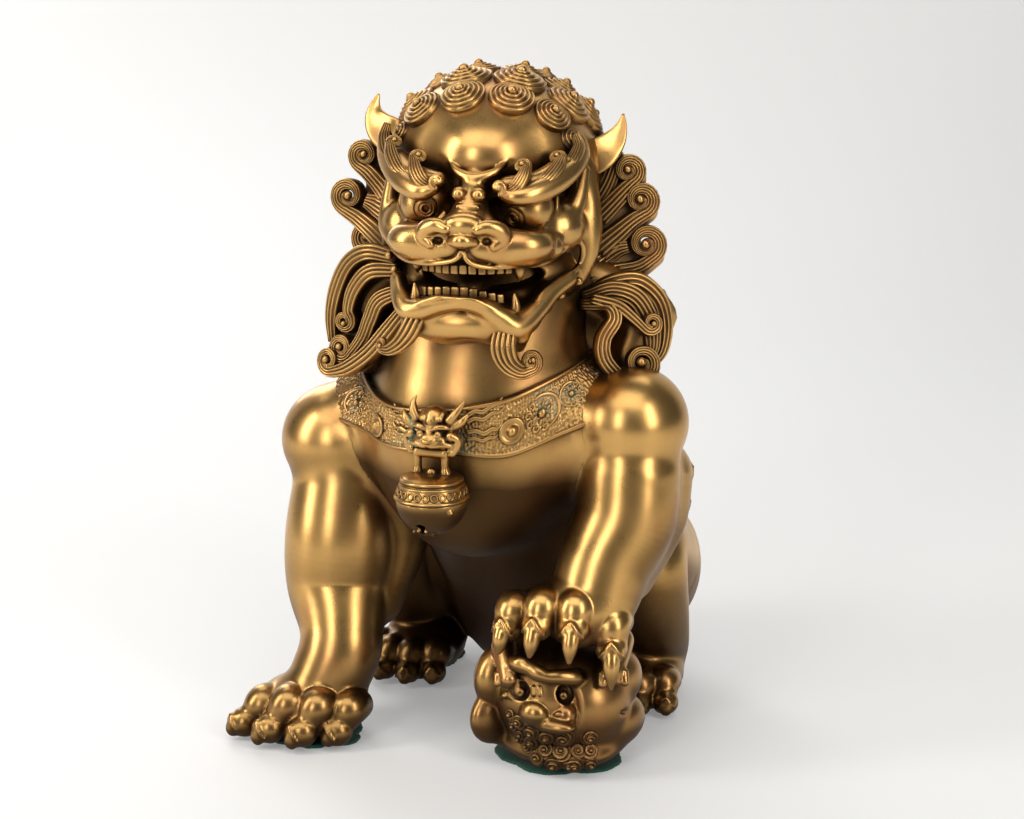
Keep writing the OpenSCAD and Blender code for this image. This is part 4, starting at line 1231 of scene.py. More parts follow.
class Band:
    # the chest's surface under the collar, by angle from the front and share of the width
    def __init__(self):
        self.turns = np.linspace(-math.pi, math.pi, 121)
        self.shares = np.linspace(-0.1, 1.1, 13)
        degrees = np.degrees(self.turns)
        top, bottom = (np.interp(degrees, *zip(*collarPlan[k])) for k in ("top", "bottom"))
        for k in range(3):  # no corners in the edges
            top, bottom = ((np.roll(v[:-1], 1) + 2 * v[:-1] + np.roll(v[:-1], -1)) / 4 for v in (top, bottom))
            top, bottom = np.append(top, top[0]), np.append(bottom, bottom[0])
        self.skin = np.zeros((len(self.turns), len(self.shares), 3))
        for i, a in enumerate(self.turns):
            for j, share in enumerate(self.shares):
                inside = np.array([*collarPlan["axis"], bottom[i] + (top[i] - bottom[i]) * share])
                self.skin[i, j], _ = seat(torso, inside, inside + np.array([math.sin(a), -math.cos(a), 0]),
                                          150)
        for k in range(2):
            self.skin[:-1] = (np.roll(self.skin[:-1], 1, 0) + 2 * self.skin[:-1]
                              + np.roll(self.skin[:-1], -1, 0)) / 4
            self.skin[-1] = self.skin[0]
        along = np.gradient(self.skin, axis=0)
        along[0] = along[-1] = self.skin[1] - self.skin[-2]
        up = np.gradient(self.skin, axis=1)
        self.out = np.cross(along, up)
        self.out /= np.linalg.norm(self.out, axis=2)[:, :, None]

    def look(self, table, a, share):
        u = np.clip((np.asarray(a) + math.pi) / (2 * math.pi) * (len(self.turns) - 1), 0,
                    len(self.turns) - 1.001)
        v = np.clip((np.asarray(share) + 0.1) / 1.2 * (len(self.shares) - 1), 0, len(self.shares) - 1.001)
        i, j = u.astype(int), v.astype(int)
        f, g = (u - i)[..., None], (v - j)[..., None]
        return ((table[i, j] * (1 - g) + table[i, j + 1] * g) * (1 - f)
                + (table[i + 1, j] * (1 - g) + table[i + 1, j + 1] * g) * f)

    def place(self, a, share, height):
        # points on the band at a height above the chest
        return self.look(self.skin, a, share) + self.look(self.out, a, share) * np.asarray(height)[..., None]

    def local(self, degrees, share):
        # a drawing sheet on the band: gives the place of (right, up, height) in mm from its middle
        a0 = math.radians(degrees)
        middle = self.place(np.array([a0]), np.array([share]), np.array([0.0]))[0]
        span = np.linalg.norm(self.place(np.array([a0 + 0.05]), np.array([share]), np.array([0.0]))[0]
                              - middle) / 0.05
        wide = np.linalg.norm(self.place(np.array([a0]), np.array([share + 0.1]), np.array([0.0]))[0]
                              - middle) / 0.1

        def at(points):
            points = np.asarray(points, float)
            return self.place(a0 + points[:, 0] / span, share + points[:, 1] / wide, points[:, 2])
        return at


band = Band()


def pits(u, v, spacing):
    # depth of a scatter of punched pits, 0 to 1
    rng = np.random.default_rng(7)
    jitter = rng.random((64, 64, 2)) * 0.6 + 0.2
    x, y = u / spacing, v / spacing
    best = np.full(u.shape, 9.0)
    for i in (-1, 0, 1):
        for j in (-1, 0, 1):
            cx, cy = np.floor(x).astype(int) + i, np.floor(y).astype(int) + j
            spot = jitter[cx % 64, cy % 64]
            best = np.minimum(best, np.hypot(cx + spot[..., 0] - x, cy + spot[..., 1] - y))
    return np.clip(1 - best / 0.55, 0, 1)


def collar():
    around, wide = int(1000 / coarse), int(54 / coarse)
    a = np.linspace(-math.pi, math.pi, around, endpoint=False)
    share = np.linspace(0, 1, wide)
    turn, level = np.meshgrid(a, share, indexing="ij")
    rim = collarPlan["rimWide"]
    height = np.full(turn.shape, collarPlan["thick"])
    ground = band.place(turn, level, np.zeros(turn.shape))
    run = np.cumsum(np.linalg.norm(np.diff(ground[:, wide // 2], axis=0, prepend=ground[:1, wide // 2]),
                                   axis=1))
    across = np.linalg.norm(ground[:, -1] - ground[:, 0], axis=1)
    height -= collarPlan["pitDeep"] * pits(run[:, None] + 0 * level, level * across[:, None],
                                           collarPlan["pit"])
    for edge in (0.045, 0.955):
        bead = np.sqrt(np.maximum(1 - ((level - edge) / rim * 1.6) ** 2, 0))
        height = np.where(bead > 0, collarPlan["thick"] - 0.4 + collarPlan["rim"] * bead, height)
    rows = [band.place(a, np.full(around, s), np.full(around, h))
            for s, h in ((0.05, -3.0), (0.0, 0.0), (-0.012, collarPlan["thick"] * 0.6))]
    rows += [band.place(turn[:, k], level[:, k], height[:, k]) for k in range(wide)]
    rows += [band.place(a, np.full(around, s), np.full(around, h))
             for s, h in ((1.012, collarPlan["thick"] * 0.6), (1.0, 0.0), (0.95, -3.0))]
    points = np.concatenate(rows)
    n = len(rows)
    i, k = np.meshgrid(np.arange(n), np.arange(around), indexing="ij")
    j, m = (i + 1) % n, (k + 1) % around
    quads = np.stack([i * around + k, i * around + m, j * around + m, j * around + k], 2).reshape(-1, 4)
    return onStatue(quadMesh("collar_band", points, quads, collarBrass), "collar_band")


collar()


def wire(heap, at, path, flat=0.75, base=0.0):
    # a tapered roll laid on a drawing sheet; the path is [right, up, radius]
    rows = smoothPath(path, 5)
    around, points = 8, []
    for i, (x, y, r) in enumerate(rows):
        ahead, behind = rows[min(i + 1, len(rows) - 1)], rows[max(i - 1, 0)]
        along = (ahead - behind)[:2]
        along /= max(np.linalg.norm(along), 1e-6)
        for k in range(around):
            b = 2 * math.pi * k / around
            points.append((x - along[1] * r * math.cos(b), y + along[0] * r * math.cos(b),
                           base + r * flat * math.sin(b)))
    heap.rings(list(at(points)), len(rows), around)


def disc(heap, at, profile, around=36, squash=1.0):
    # a turned boss on a drawing sheet
    points = [(r * math.cos(b), squash * r * math.sin(b), h) for r, h in profile
              for b in np.linspace(0, 2 * math.pi, around, endpoint=False)]
    heap.rings(list(at(points)), len(profile), around)


bossPlan = {"places": [(31, 0.43, 1.0), (-39, 0.36, 0.88)],
            "profile": [(8.6, -1), (8.6, 1.0), (8.2, 1.8), (7.2, 2.1), (6.4, 1.7), (5.2, 1.2), (4.2, 1.4),
                        (3.4, 2.2),
                        (2.9, 3.0), (2.0, 3.9), (0.9, 4.3), (0.1, 4.4)]}


def bosses():
    heap = Heap("collar_bosses")
    for degrees, share, size in bossPlan["places"]:
        sheet = band.local(degrees, share)
        disc(heap, sheet, [(r * size, h * size + collarPlan["thick"] - 0.4) for r, h in bossPlan["profile"]])
    return onStatue(heap.make(collarBrass), "collar_bosses")


bosses()

medallionPlan = {
    "places": [(46, 0.52, 1.0, 1), (60.5, 0.58, 0.72, -1), (-62, 0.5, 0.85, -1), (76, 0.55, 0.7, 1),
               (-84, 0.5, 0.7, 1),
               (118, 0.5, 0.9, 1), (-118, 0.5, 0.9, -1), (155, 0.5, 0.9, -1), (-155, 0.5, 0.9, 1)],
    "petals": 6,
}


def medallions():
    # a knob with petals, ringed by leaf scrolls
    heap = Heap("collar_medallions")
    lift = collarPlan["thick"] - 0.2
    for degrees, share, size, hand in medallionPlan["places"]:
        sheet = band.local(degrees, share)
        disc(heap, sheet, [(3.0 * size, lift - 1), (3.0 * size, lift + 1.0), (2.4 * size, lift + 1.9),
                           (1.2 * size, lift + 2.4), (0.1, lift + 2.5)], 18)
        for k in range(medallionPlan["petals"]):
            a = 2 * math.pi * k / medallionPlan["petals"] + 0.3
            c, s = math.cos(a) * size, math.sin(a) * size
            wire(heap, sheet, [(3.2 * c, 3.2 * s, 0.5), (4.9 * c, 4.9 * s, 1.6 * size),
                               (6.6 * c, 6.6 * s, 1.1 * size),
                               (7.8 * c, 7.8 * s, 0.4)], base=lift)
        wire(heap, sheet, [(hand * size * 12.5 * math.cos(a), size * 11 * math.sin(a),
                            0.9 + 0.5 * math.sin((a + 1.2) * 0.9))
                           for a in np.linspace(-1.3, 2.0, 12)], base=lift)
        for k in range(5):
            a = 2.4 + k * 0.62
            x, y = hand * size * 10.2 * math.cos(a), size * 9.4 * math.sin(a)
            turn = [(x + size * (2.6 - 0.19 * j) * math.cos(a * 2 + j * 0.72) * hand,
                     y + size * (2.6 - 0.19 * j) * math.sin(a * 2 + j * 0.72), size * (1.15 - 0.06 * j))
                    for j in range(10)]
            wire(heap, sheet, turn, base=lift)
    return onStatue(heap.make(collarBrass), "collar_medallions")


medallions()

maskAt = bellMid  # the mask's shapes are drawn from the pin's middle
maskRolls = {  # (fillet, places and radii)
    "core": (3, [(0, 14, 11, 12), (0, 8, 14, 11), (0, 6, 20, 9)]),
    "snout": (1.2, [(-7, -1, 8, 4.2), (0, -3.5, 9, 4.8), (7, -1, 8, 4.2)]),
    "lip": (0.6, [(-14, 1, 5, 2.3), (-9, -3, 6.2, 2.2), (-3, -5.6, 5.4, 1.7), (0, -6, 6.0, 1.5),
                  (3, -5.6, 5.4, 1.7),
                  (9, -3, 6.2, 2.2), (14, 1, 5, 2.3)]),
    "nostrils": (0.4, [(-3.4, -6.5, 9.4, 1.7), (0, -8.4, 8.4, 1.4), (3.4, -6.5, 9.4, 1.7)]),
    "bridge": (0.8, [(0, -3.5, 12.5, 2.4), (0, -1.5, 17, 2.0)]),
    "brow pair": (0.5, [(2.4, -3.4, 15.6, 1.5), (6.0, -3.8, 17.4, 1.8), (10.5, -1.5, 17.2, 1.7),
                        (13.5, 1.5, 15.2, 1.0)]),
    "crest": (0.6, [(0, -0.5, 20.5, 3.6), (0, 2.0, 25, 3.0)]),
    "crest pair": (0.5, [(5.5, 0.5, 21.5, 2.8), (6.8, 3.0, 24.5, 2.0)]),
    "hornL": (0.6, [(12, 2, 21, 3.2), (15.5, 2.5, 25.5, 2.8), (18.5, 4, 30, 1.7), (20.5, 5, 33.5, 0.7)]),
    "hornR": (0.6, [(-11, 2, 21, 3.2), (-13.2, 2.5, 26, 2.8), (-13.8, 4, 31, 1.7), (-12.4, 5, 34.5, 0.7)]),
    "leafL": (0.6, [(14, 3, 16.5, 2.6), (19, 3.5, 20.5, 2.8), (22.5, 5, 24.5, 1.4)]),
    "leafR": (0.6, [(-14, 3, 16.5, 2.6), (-18.5, 3.5, 20, 2.8), (-21, 5, 24, 1.4)]),
    "cheek pair": (0.6, [(13.5, -0.5, 11.5, 3.2), (16.8, 1.5, 9.0, 3.2), (16.6, 1.5, 4.6, 2.8),
                         (14.2, 0.5, 0.5, 2.6)]),
    "whisker pair": (0.4, [(8, -3.4, 4.4, 1.0), (11.2, -2.4, 2.0, 1.1), (13.4, -0.8, 2.6, 1.0)]),
}
flamePlan = [  # wavy strands on the band: side, [right of the pin, above it, radius]
    [(15, 17, 1.6), (20, 19.5, 1.5), (25, 18.5, 1.5), (30, 20.5, 1.3), (35, 21.5, 1.0), (38, 24, 0.5)],
    [(15, 13.5, 1.4), (20, 15.5, 1.4), (25.5, 14.5, 1.4), (31, 17, 1.2), (36, 17, 0.9), (40, 19.5, 0.4)],
    [(15, 8, 1.5), (21, 8.5, 1.5), (26, 7, 1.6), (31, 9, 1.4), (35, 8.8, 1.1), (37.5, 11.5, 0.8),
     (36, 13.5, 0.4)],
    [(15, 4, 1.3), (20, 4.4, 1.3), (25, 3.2, 1.3), (29, 4.6, 1.1), (33, 4.8, 0.8), (36, 6.6, 0.4)],
]


def mask():
    shape = Form()
    for key, (soft, balls) in maskRolls.items():
        for side in (1, -1) if "pair" in key else (1,):
            shape.bend([(side * x + maskAt[0], y + maskAt[1], z + maskAt[2], r) for x, y, z, r in balls],
                       soft)
    for side in (-1, 1):
        eye = maskAt + np.array([side * 6.2, -3.4, 12.8])
        shape.ball(eye, 2.5, 0.4).ball(eye + [0, -2.4, -0.2], 0.8, 0.2, cut=True)
        shape.ball(maskAt + np.array([side * 3.4, -8.2, 8.6]), 0.7, 0.2, cut=True)
        shape.ball(maskAt + np.array([side * 15.4, -0.9, 8.4]), 1.3, 0.3, cut=True)
    # the mouth, for the yoke
    shape.block(maskAt + np.array([0, -6, -9]), (11.6, 13, 12.4), 1.0, soft=0.5, cut=True)
    grid = Grid(maskAt + [-26, -12, -4], maskAt + [26, 28, 38], 0.5)
    heap = Heap("collar_mask")
    heap.take(skin("mask", shape.on(grid), grid, collarBrass, rounds=1))
    sheet = band.local(0, 0.5)
    low = 228 - maskAt[2]
    for side in (-1, 1):
        for path in flamePlan:
            wire(heap, sheet, [(side * x, z - low + 0.6, r) for x, z, r in path], base=collarPlan["thick"])
    return onStatue(heap.make(collarBrass), "collar_mask")


mask()
print("collar done")

# Bell: hangs on its pin, all turned about one upright axis.
bellPlan = {
    "axis": (6.0, -135.4), "r": 23.5, "wall": 2.2, "bowlTop": 189.0, "slot": (2.4, 17), "rings": 26,
            "ringR": 2.1,
    "cap": [(0.1, 205.6), (9, 205.5), (14, 205.0), (17.2, 204.0), (18.6, 203.2), (19.6, 202.9), (20.3, 202.2),
            (20.4, 201.2), (19.8, 200.5), (19.0, 200.2), (18.9, 199.2), (0.1, 199.2)],
    "band": [(18.6, 199.3), (20.0, 199.5), (21.0, 199.1), (21.2, 198.3), (20.9, 197.6), (21.4, 196.8),
             (22.6, 192.4),
             (22.9, 191.6), (23.8, 191.3), (24.4, 190.5), (24.3, 189.6), (23.6, 189.1), (21.2, 189.0),
             (18.6, 196.0)],
}


def onBell(piece, *nodes):
    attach(piece, "bell")
    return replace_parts(piece, *nodes)


def bell():
    x0, y0 = bellPlan["axis"]

    def place(q):
        return q + np.array([x0, y0, 0])
    for node in ("cap", "band"):
        heap = Heap("bell_" + node)
        profile = bellPlan[node]
        if node == "cap":
            profile = smoothPath([(r, z, 0) for r, z in profile], 3)[:, :2]
        else:
            profile = profile + profile[:1]
        around = 72
        turn = np.linspace(0, 2 * math.pi, around, endpoint=False)
        heap.rings([place(np.array([r * math.cos(a), r * math.sin(a), z])) for r, z in profile for a in turn],
                   len(profile), around)
        if node == "cap":
            heap.knob((x0, y0, 205.6), 3.6)
        else:
            heap.faces = heap.faces[:-2]
            for k in range(bellPlan["rings"]):  # a row of punched circles
                a = 2 * math.pi * (k + 0.5) / bellPlan["rings"]
                out = np.array([math.cos(a), math.sin(a), 0])
                side = np.array([-math.sin(a), math.cos(a), 0])
                up = np.array([0, 0, 1.0]) - out * 0.26
                middle = place(out * 22.05 + np.array([0, 0, 194.6]))
                ring, r = [], bellPlan["ringR"]
                for b in np.linspace(0, 2 * math.pi, 18, endpoint=False):
                    rim = math.cos(b) * side + math.sin(b) * up
                    ring += [middle + rim * (r + 0.5 * math.cos(c)) + out * 0.75 * math.sin(c)
                             for c in np.linspace(0, 2 * math.pi, 6, endpoint=False)]
                faces = [(i * 6 + j, i * 6 + (j + 1) % 6, (i + 1) % 18 * 6 + (j + 1) % 6,
                          (i + 1) % 18 * 6 + j)
                         for i in range(18) for j in range(6)]
                heap.add(ring, faces)
        onBell(heap.make(bellBrass), "bell_" + node)

    r, top, wall = bellPlan["r"], bellPlan["bowlTop"], bellPlan["wall"]
    bowl = Form().ball((x0, y0, top), (r - 0.4, r - 0.4, r), 0)
    front = np.array([x0, y0 - r * 0.52, top - r * 0.86])
    for side in (-1, 1):  # cloud scrolls round the front of the mouth slot
        swirl = [(front[0] + side * (1.6 + 5.4 * f) + 1.5 * math.sin(6 * f), front[1] - 0.4 + 2.0 * f * f,
                  front[2] + 2.2 * math.sin(5.2 * f) + 2.0 * f, 1.5 - 0.6 * f) for f in np.linspace(0, 1, 8)]
        bowl.bend(swirl, 0.4, steps=3)
        slot = [(x0 + side * 2.6, y0 - 15, top - r * 0.78, 1.3), (x0 + side * 2.8, y0, top - r - 0.1, 1.3),
                (x0 + side * 2.6, y0 + 15, top - r * 0.78, 1.3)]
        bowl.bend(slot, 0.6)
    bowl.ball((x0 + 17.6, y0 - 12.6, top - 5.0), (2.6, 2.2, 2.6), 0.3)
    bowl.ball((x0, y0, top), (r - wall - 0.4, r - wall - 0.4, r - wall), 0, cut=True)
    bowl.block((x0, y0, top + 20), (40, 40, 20), 0.5, soft=0, cut=True)
    bowl.block((x0, y0, top - r), (bellPlan["slot"][0] / 2, bellPlan["slot"][1], 12), 0.4, soft=0.3, cut=True)
    for side in (-1, 1):
        bowl.ball((x0, y0 + side * 17, top - 15), 3.0, 0.4, cut=True)
    grid = Grid((x0 - 28, y0 - 28, top - 28), (x0 + 28, y0 + 28, top + 3), 0.62)
    onBell(skin("bell_bowl", bowl.on(grid), grid, bellBrass, rounds=1), "bell_bowl")

    px, py, pz = maskAt
    yoke = Form()
    for side in (-1, 1):
        yoke.bend([(px + side * 9.3, py, pz, 3.4), (px + side * 9.3, py, pz - 3, 2.6),
                   (px + side * 9.3, py, pz - 9, 2.2),
                   (px + side * 9.8, py, pz - 13.2, 3.4)], 0.8)
        yoke.block((px + side * 9.3, py, pz - 7), (1.7, 2.3, 8.5), 0.7, soft=1.0)
    yoke.roll([(px - 8.6, py, pz, 3.7), (px + 8.6, py, pz, 3.7)], 0.6)
    yoke.roll([(px - 14, py, pz, 2.08), (px + 14, py, pz, 2.08)], 0, cut=True)
    yoke.block((px, py, pz - 24.0), (22, 22, 10), 0.3, soft=0, cut=True)
    grid = Grid((px - 16, py - 8, pz - 18), (px + 16, py + 8, pz + 7), 0.42)
    onBell(skin("bell_yoke", yoke.on(grid), grid, bellBrass, rounds=1), "bell_yoke")
    for node in ("bell_pin", "bell_pellet"):
        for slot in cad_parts[node].material_slots:
            slot.material = darkBrass


bell()
print("bell done")

# Cub, drawn in its own frame: right and forward as seen from in front, and up from the table.
cubAt, cubTurn = np.array([70.0, -74.0, 0.0]), math.radians(22)


def ofCub(p):
    c, s = math.cos(cubTurn), math.sin(cubTurn)
    return cubAt + np.array([p[0] * c + p[1] * s, p[0] * s - p[1] * c, p[2]])


cubBalls = {  # (place, radii, fillet)
    "body": ((0, -2, 44), (53.5, 42, 45), 6), "haunchR": ((34, 8, 58), (19, 24, 22), 3),
    "haunchL": ((-38, 4, 58), (15, 22, 23), 3), "armR": ((36, 12, 30), (17, 26, 19), 2.0),
    "armL": ((-42, 6, 32), (11, 22, 20), 2.0), "seat": ((0, 4, 14), (45, 36, 14), 8),
}
cubRolls = {
    "shinR": (2.0, [(38, 14, 86, 11), (36, 26, 78, 9), (33, 36, 72, 7.5)]),
    "shinL": (2.0, [(-36, 14, 82, 9), (-34, 26, 74, 7.5), (-33, 34, 67, 6)]),
}
faceOfCub = {  # the upside-down face
    "plate": ((-13, 16, 50), (33, 26.5, 33), 8), "domeR": ((-17, 41, 47), (10.5, 9, 9), 1.2),
    "domeL": ((3, 41, 46), (8, 8, 7.5), 1.2), "brow": ((-10, 36, 40), (25, 12, 7), 3),
    "cheek": ((19, 30, 50), (7, 12, 10), 2),
}
mouthOfCub = {
    "bar": (1.2, [(-31, 31, 77, 4.5), (-26, 37, 79, 6.0), (-19, 41, 77, 5.2), (-14.5, 43, 74.5, 5.4),
                  (-8, 44, 72.5, 4.6),
                  (0, 43, 72, 5.2), (8, 40, 70.5, 5.6), (12.5, 36, 68.5, 4.6)]),
    "barEnd": (0.8, [(-31, 30, 75, 4.2), (-33, 29, 70, 3.2), (-31, 31, 66, 2.2)]),
    "ridgeA": (0.4, [(-17.5, 41, 64, 1.5), (-17.3, 42.5, 60, 1.7)]),
    "ridgeB": (0.4, [(-13.6, 41.5, 64, 1.5), (-13.2, 43, 60, 1.7)]),
    "lidR1": (0.4, [(-35, 29, 60, 1.3), (-31, 34, 65.5, 1.4), (-25, 37, 66.5, 1.4), (-20.5, 38.5, 62, 1.3)]),
    "lidL1": (0.4, [(-8, 40.5, 59, 1.2), (-5, 40.5, 64, 1.4), (1, 40, 66.2, 1.4), (7, 37, 64, 1.3),
                    (9.5, 35, 59, 1.0)]),
    "nostril": (0.4, [(-38, 26, 52, 2.0), (-34.5, 30, 55.5, 2.4), (-30, 33.5, 54, 2.4),
                      (-28, 34.5, 51.5, 1.6)]),
    "nostrilL": (0.4, [(-4, 45, 46, 1.8), (-1, 47.4, 48, 2.0), (3, 47, 46, 1.6)]),
    "whisker1": (0.3, [(8, 38, 49, 1.5), (12, 37, 44, 1.6), (15.5, 37, 37, 1.6), (17, 37, 31, 1.2)]),
    "whisker2": (0.3, [(11, 37, 50, 1.2), (15, 35, 44, 1.4), (19, 35, 37, 1.4), (22, 34, 32, 1.0)]),
    "whisker3": (0.3, [(14, 34, 56, 1.4), (18, 33, 49, 1.8), (21, 33, 42, 1.6), (24, 32, 35, 1.2)]),
    "leaf1": (0.4, [(15, 37, 30, 2.2), (17, 38, 26, 3.0), (18, 37, 20.5, 1.8)]),
    "leaf2": (0.4, [(23, 33, 32, 2.4), (26, 32, 28, 3.4), (27, 31, 23, 2.2)]),
}
cubBeads = [((9.3, 42.5, 43.0), 2.2), ((10.8, 42, 38.6), 2.0), ((29, 30, 41.5), 2.9), ((-36, 31, 54.5), 2.0)]
cubCurls = [  # (right, up, radius)
    (-36, 38, 5.2), (-24, 32, 6.2), (-11.5, 29.8, 6.6), (2, 29, 6.8), (-43, 33, 4.4), (-36, 26.5, 4.6),
            (-26, 21.5, 5.6),
    (-12.5, 17, 5.8), (1, 17.5, 6.0), (-40, 20, 4.2), (-31, 15, 4.6), (-20, 9.5, 4.8), (-6, 7, 5.0),
            (11.5, 9, 5.4),
    (23.5, 28.5, 5.2), (14.5, 18.5, 5.6), (24.5, 17.5, 5.6), (-46, 42, 4.0), (7, 8, 4.0), (25, 8, 4.4),
]


def formOfCub(balls, rolls):
    form = Form()
    for place, radii, soft in balls.values():
        form.ball(ofCub(place), radii, soft, (-22, "Z"))
    for soft, row in rolls.values():
        form.bend([(*ofCub(p[:3]), p[3]) for p in row], soft)
    return form


def cub():
    body, head = formOfCub(cubBalls, cubRolls), formOfCub(faceOfCub, mouthOfCub)
    for x, y, z, size in ((-27, 36.5, 60.5, 8.2), (1, 38, 58.5, 8.8)):  # eye hollows and balls
        head.ball(ofCub((x, y, z)), (size, 6.5, size * 0.8), 1.5, (-22, "Z"), cut=True)
        head.ball(ofCub((x, y - 6, z - 0.5)), 6.8, 0.6)
        head.ball(ofCub((x + 0.6, y + 0.4, z - 1.2)), (3.6, 3.0, 3.6), 0.3)
        head.ball(ofCub((x + 0.8, y + 3.8, z - 1.4)), 1.5, 0.3, cut=True)
    for at, r in cubBeads:
        head.ball(ofCub(at), r, 0.4)
    body.ball(ofCub((-8, 41, 54)), (29, 15, 26), 4, (-22, "Z"), cut=True)  # room for the face
    for k in range(4):  # small toes at both sides
        body.bend([(*ofCub((27.5 + k * 4.6, 38 - 0.7 * k, 73 - (k == 0) - (k == 3))), 3.3),
                   (*ofCub((27.0 + k * 4.9, 42 - 1.2 * k, 67.5 - (k in (0, 3)) * 1.2)), 3.0)], 0.5)
        body.bend([(*ofCub((-40.5 + k * 4.0, 30 + 0.9 * k, 68.5)), 2.7),
                   (*ofCub((-41 + k * 4.2, 33 + 0.9 * k, 63.5)), 2.3)], 0.5)
    body.roll([(*ofCub((48, 26, 41)), 1.2), (*ofCub((30, 36, 45)), 1.6)], 2.0, cut=True)
    casting("cub_body", body, [head], (8, -124, 0), (130, -24, 96), 1.4, soft=2.0, floor=feltTop,
            finish=cubBrass, rounds=2)
    casting("cub_head", head, [body], (14, -130, 4), (118, -60, 94), 0.85, soft=2.0, floor=feltTop,
            finish=cubBrass, rounds=1)
    whole = formOfCub({**cubBalls, **faceOfCub}, {})
    curls = Heap("cub_curls")
    for k, (x, z, r) in enumerate(cubCurls):
        p, n = seat(whole, ofCub((x * 0.3, 0, 20 + z * 0.5)), ofCub((x, 60, z * 1.0 + 0.12 * (z - 30))))
        snailCurl(curls, p - n * 0.6, n + [0, 0, 0.12], r * 1.08, 1 if k % 2 else -1, 0.21 * k, rise=1.7,
                  rings=2.3)
    return onStatue(curls.make(cubBrass), "cub_head")


cub()
print("cub done")

feltPlan = {  # pads as joined discs of (x, y, radius), a little larger than what they lie under
    "right_forepaw_felt": [(-131, -111, 12), (-112, -116, 13), (-92, -115, 13), (-78, -104, 13),
                           (-100, -92, 30)],
    "cub_felt": [(52, -76, 26), (88, -74, 26), (70, -82, 28), (70, -68, 28)],
    "right_hind_felt": [(-86, 40, 22), (-86, 60, 22), (-86, 78, 22)],
    "left_hind_felt": [(86, 40, 22), (86, 60, 22), (86, 78, 22)],
    "rump_felt": [(0, 86, 34), (0, 90, 34)],
}
frayed = 0.7


def feltPad(node):
    # outline by rays from the middle; the edge bulges and is unevenly cut
    discs = np.array(feltPlan[node], float)
    middle = discs[:, :2].mean(0)
    rng = random.Random(len(node))
    around = 260
    waves = [(rng.randint(3, 9), rng.random() * 6.3, 0.8), (rng.randint(11, 25), rng.random() * 6.3, 0.35)]
    points, levels = [], [(0.965, 0.0), (1.0, 0.25), (1.012, 1.1), (1.0, 2.1), (0.985, 2.5), (0.90, 2.5)]
    edge = []
    for k in range(around):
        a = 2 * math.pi * k / around
        way = np.array([math.cos(a), math.sin(a)])
        reach = 0
        for x, y, r in discs:
            b = (np.array([x, y]) - middle) @ way
            c = (np.array([x, y]) - middle) @ (np.array([x, y]) - middle) - r * r
            if b * b >= c:
                reach = max(reach, b + math.sqrt(b * b - c))
        edge.append(reach + sum(w * math.sin(n * a + p) for n, p, w in waves) * 0.8 - 1.0
                    + rng.uniform(-1, 1) * frayed * 0.5)
    for size, z in levels:
        for k in range(around):
            a = 2 * math.pi * k / around
            r = edge[k] * size + rng.uniform(-1, 1) * 0.12
            points.append((middle[0] + r * math.cos(a), middle[1] + r * math.sin(a), z))
    return onStatue(tube(node, points, len(levels), around, felt), node, slot="felt")


for padName in feltPlan:
    feltPad(padName)
print("felt laid")

# Beads along the jaw, cast with it.
beads = Heap("jaw_beads")
for at in jawBeads["places"]:
    beads.knob(ofHead(at), jawBeads["r"])
onStatue(beads.make(brass), "lower_jaw")

stagePlan = {  # lengths in mm, the turn in degrees
    "floor": (0.64, 0.64, 0.63), "cloud": (0.60, 0.60, 0.59), "glow": 0.20, "reach": 3000, "turn": 21.7,
    "sweepFrom": 1200, "sweep": 500, "top": 3000,
}


def plainStage():
    shop = Shop("pale_floor")
    cloud = shop.noise(400, 2.0, 0.5)
    shop.shader.inputs["Emission Strength"].default_value = stagePlan["glow"]
    shop.shader.inputs["Emission Color"].default_value = (1, 1, 1, 1)
    finish = shop.shade(colour=shop.tint(cloud * 0.2, stagePlan["floor"], stagePlan["cloud"]), roughness=0.6,
                        metal=0.0)
    r, start, sweep = stagePlan["reach"], stagePlan["sweepFrom"], stagePlan["sweep"]
    sweepLine = [(-r, 0)] + [(start + sweep * math.sin(a), sweep - sweep * math.cos(a))
                             for a in np.linspace(0, math.pi / 2, 10)] + [(start + sweep, stagePlan["top"])]
    a = math.radians(stagePlan["turn"])
    points, faces = [], []
    for side in (-1, 1):
        for away, up in sweepLine:
            x, y = side * r, away
            points.append((x * math.cos(a) - y * math.sin(a), x * math.sin(a) + y * math.cos(a), up))
    n = len(sweepLine)
    for i in range(n - 1):
        faces.append((i, n + i, n + i + 1, i + 1))
    floor = makeMesh("floor", points, faces, finish)


plainStage()

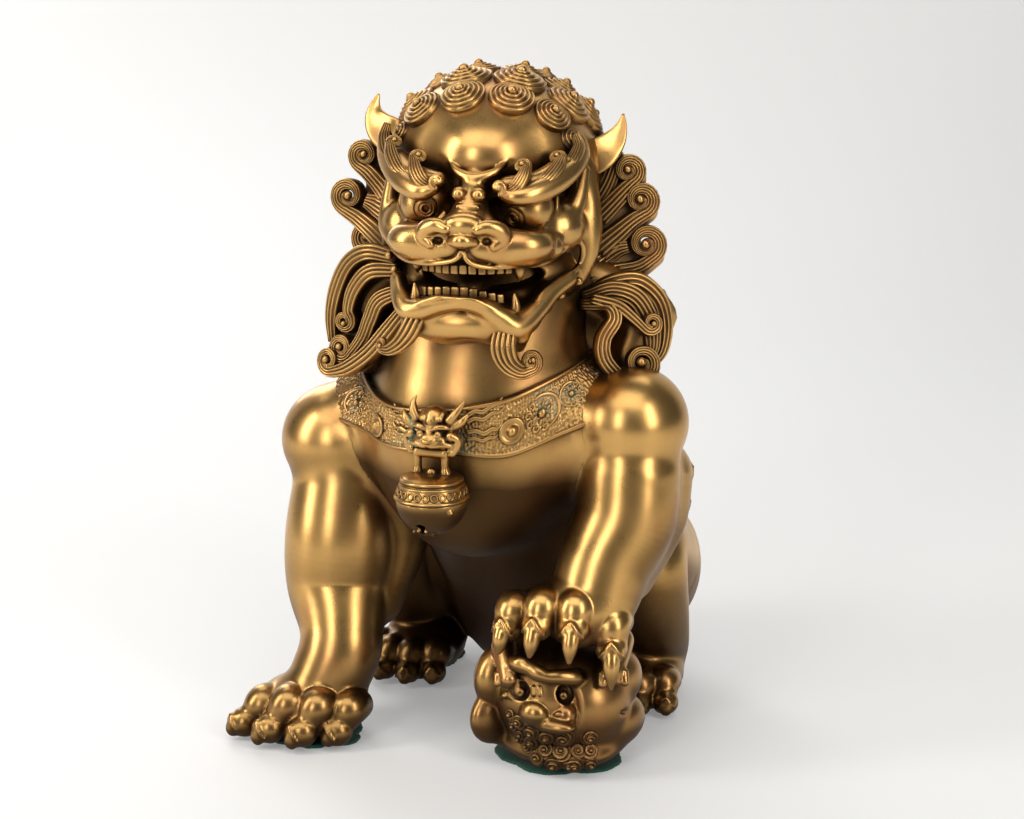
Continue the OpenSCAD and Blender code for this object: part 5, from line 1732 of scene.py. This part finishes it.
lampPlan = {  # name: (place m, aim m, size m, watts, colour)
    "overhead": ((0.1, -0.9, 1.7), (0, -0.05, 0.25), (1.9, 1.1), 14, (1.0, 0.98, 0.95)),
    "front": ((-0.25, -2.3, 0.95), (0, 0, 0.2), (0.45, 1.3), 12.5, (1.0, 0.98, 0.95)),
    "left strip": ((-1.25, -1.0, 0.9), (0, -0.05, 0.22), (0.40, 1.5), 14, (1.0, 0.98, 0.95)),
    "right strip": ((1.45, -0.75, 0.9), (0, 0, 0.25), (0.40, 1.3), 11, (1.0, 0.97, 0.93)),
    "backdrop": ((-0.4, 0.9, 2.3), (-0.6, 1.6, 0.2), (2.2, 1.0), 16, (1.0, 1.0, 1.0)),
    "behind": ((-1.2, 1.1, 1.0), (0, 0, 0.25), (0.5, 1.2), 7, (1.0, 1.0, 1.0)),
}
for name, (place, aim, size, watts, tone) in lampPlan.items():
    lamp = bpy.data.lights.new(name, "AREA")
    lamp.shape = "RECTANGLE"
    lamp.size, lamp.size_y = size
    lamp.energy, lamp.color = watts, tone
    holder = bpy.data.objects.new(name, lamp)
    holder.location = place
    holder.rotation_euler = (Vector(aim) - Vector(place)).to_track_quat("-Z", "Y").to_euler()
    bpy.context.scene.collection.objects.link(holder)

roomPlan = {"tone": (0.82, 0.82, 0.84, 1), "strength": 0.12}
world = bpy.data.worlds.new("room")
bpy.context.scene.world = world
world.use_nodes = True
world.node_tree.nodes["Background"].inputs["Color"].default_value = roomPlan["tone"]
world.node_tree.nodes["Background"].inputs["Strength"].default_value = roomPlan["strength"]
bpy.context.scene.view_settings.view_transform = "Standard"

cameraPlan = {"place": (0.5057, -1.2517, 0.530), "pitch": 13.05, "turn": 21.725, "lens": 70.0}
lens = bpy.data.cameras.new("camera")
lens.lens, lens.sensor_width = cameraPlan["lens"], 36.0
camera = bpy.data.objects.new("camera", lens)
camera.location = cameraPlan["place"]
camera.rotation_euler = (math.radians(90 - cameraPlan["pitch"]), 0, math.radians(cameraPlan["turn"]))
bpy.context.scene.collection.objects.link(camera)
bpy.context.scene.camera = camera
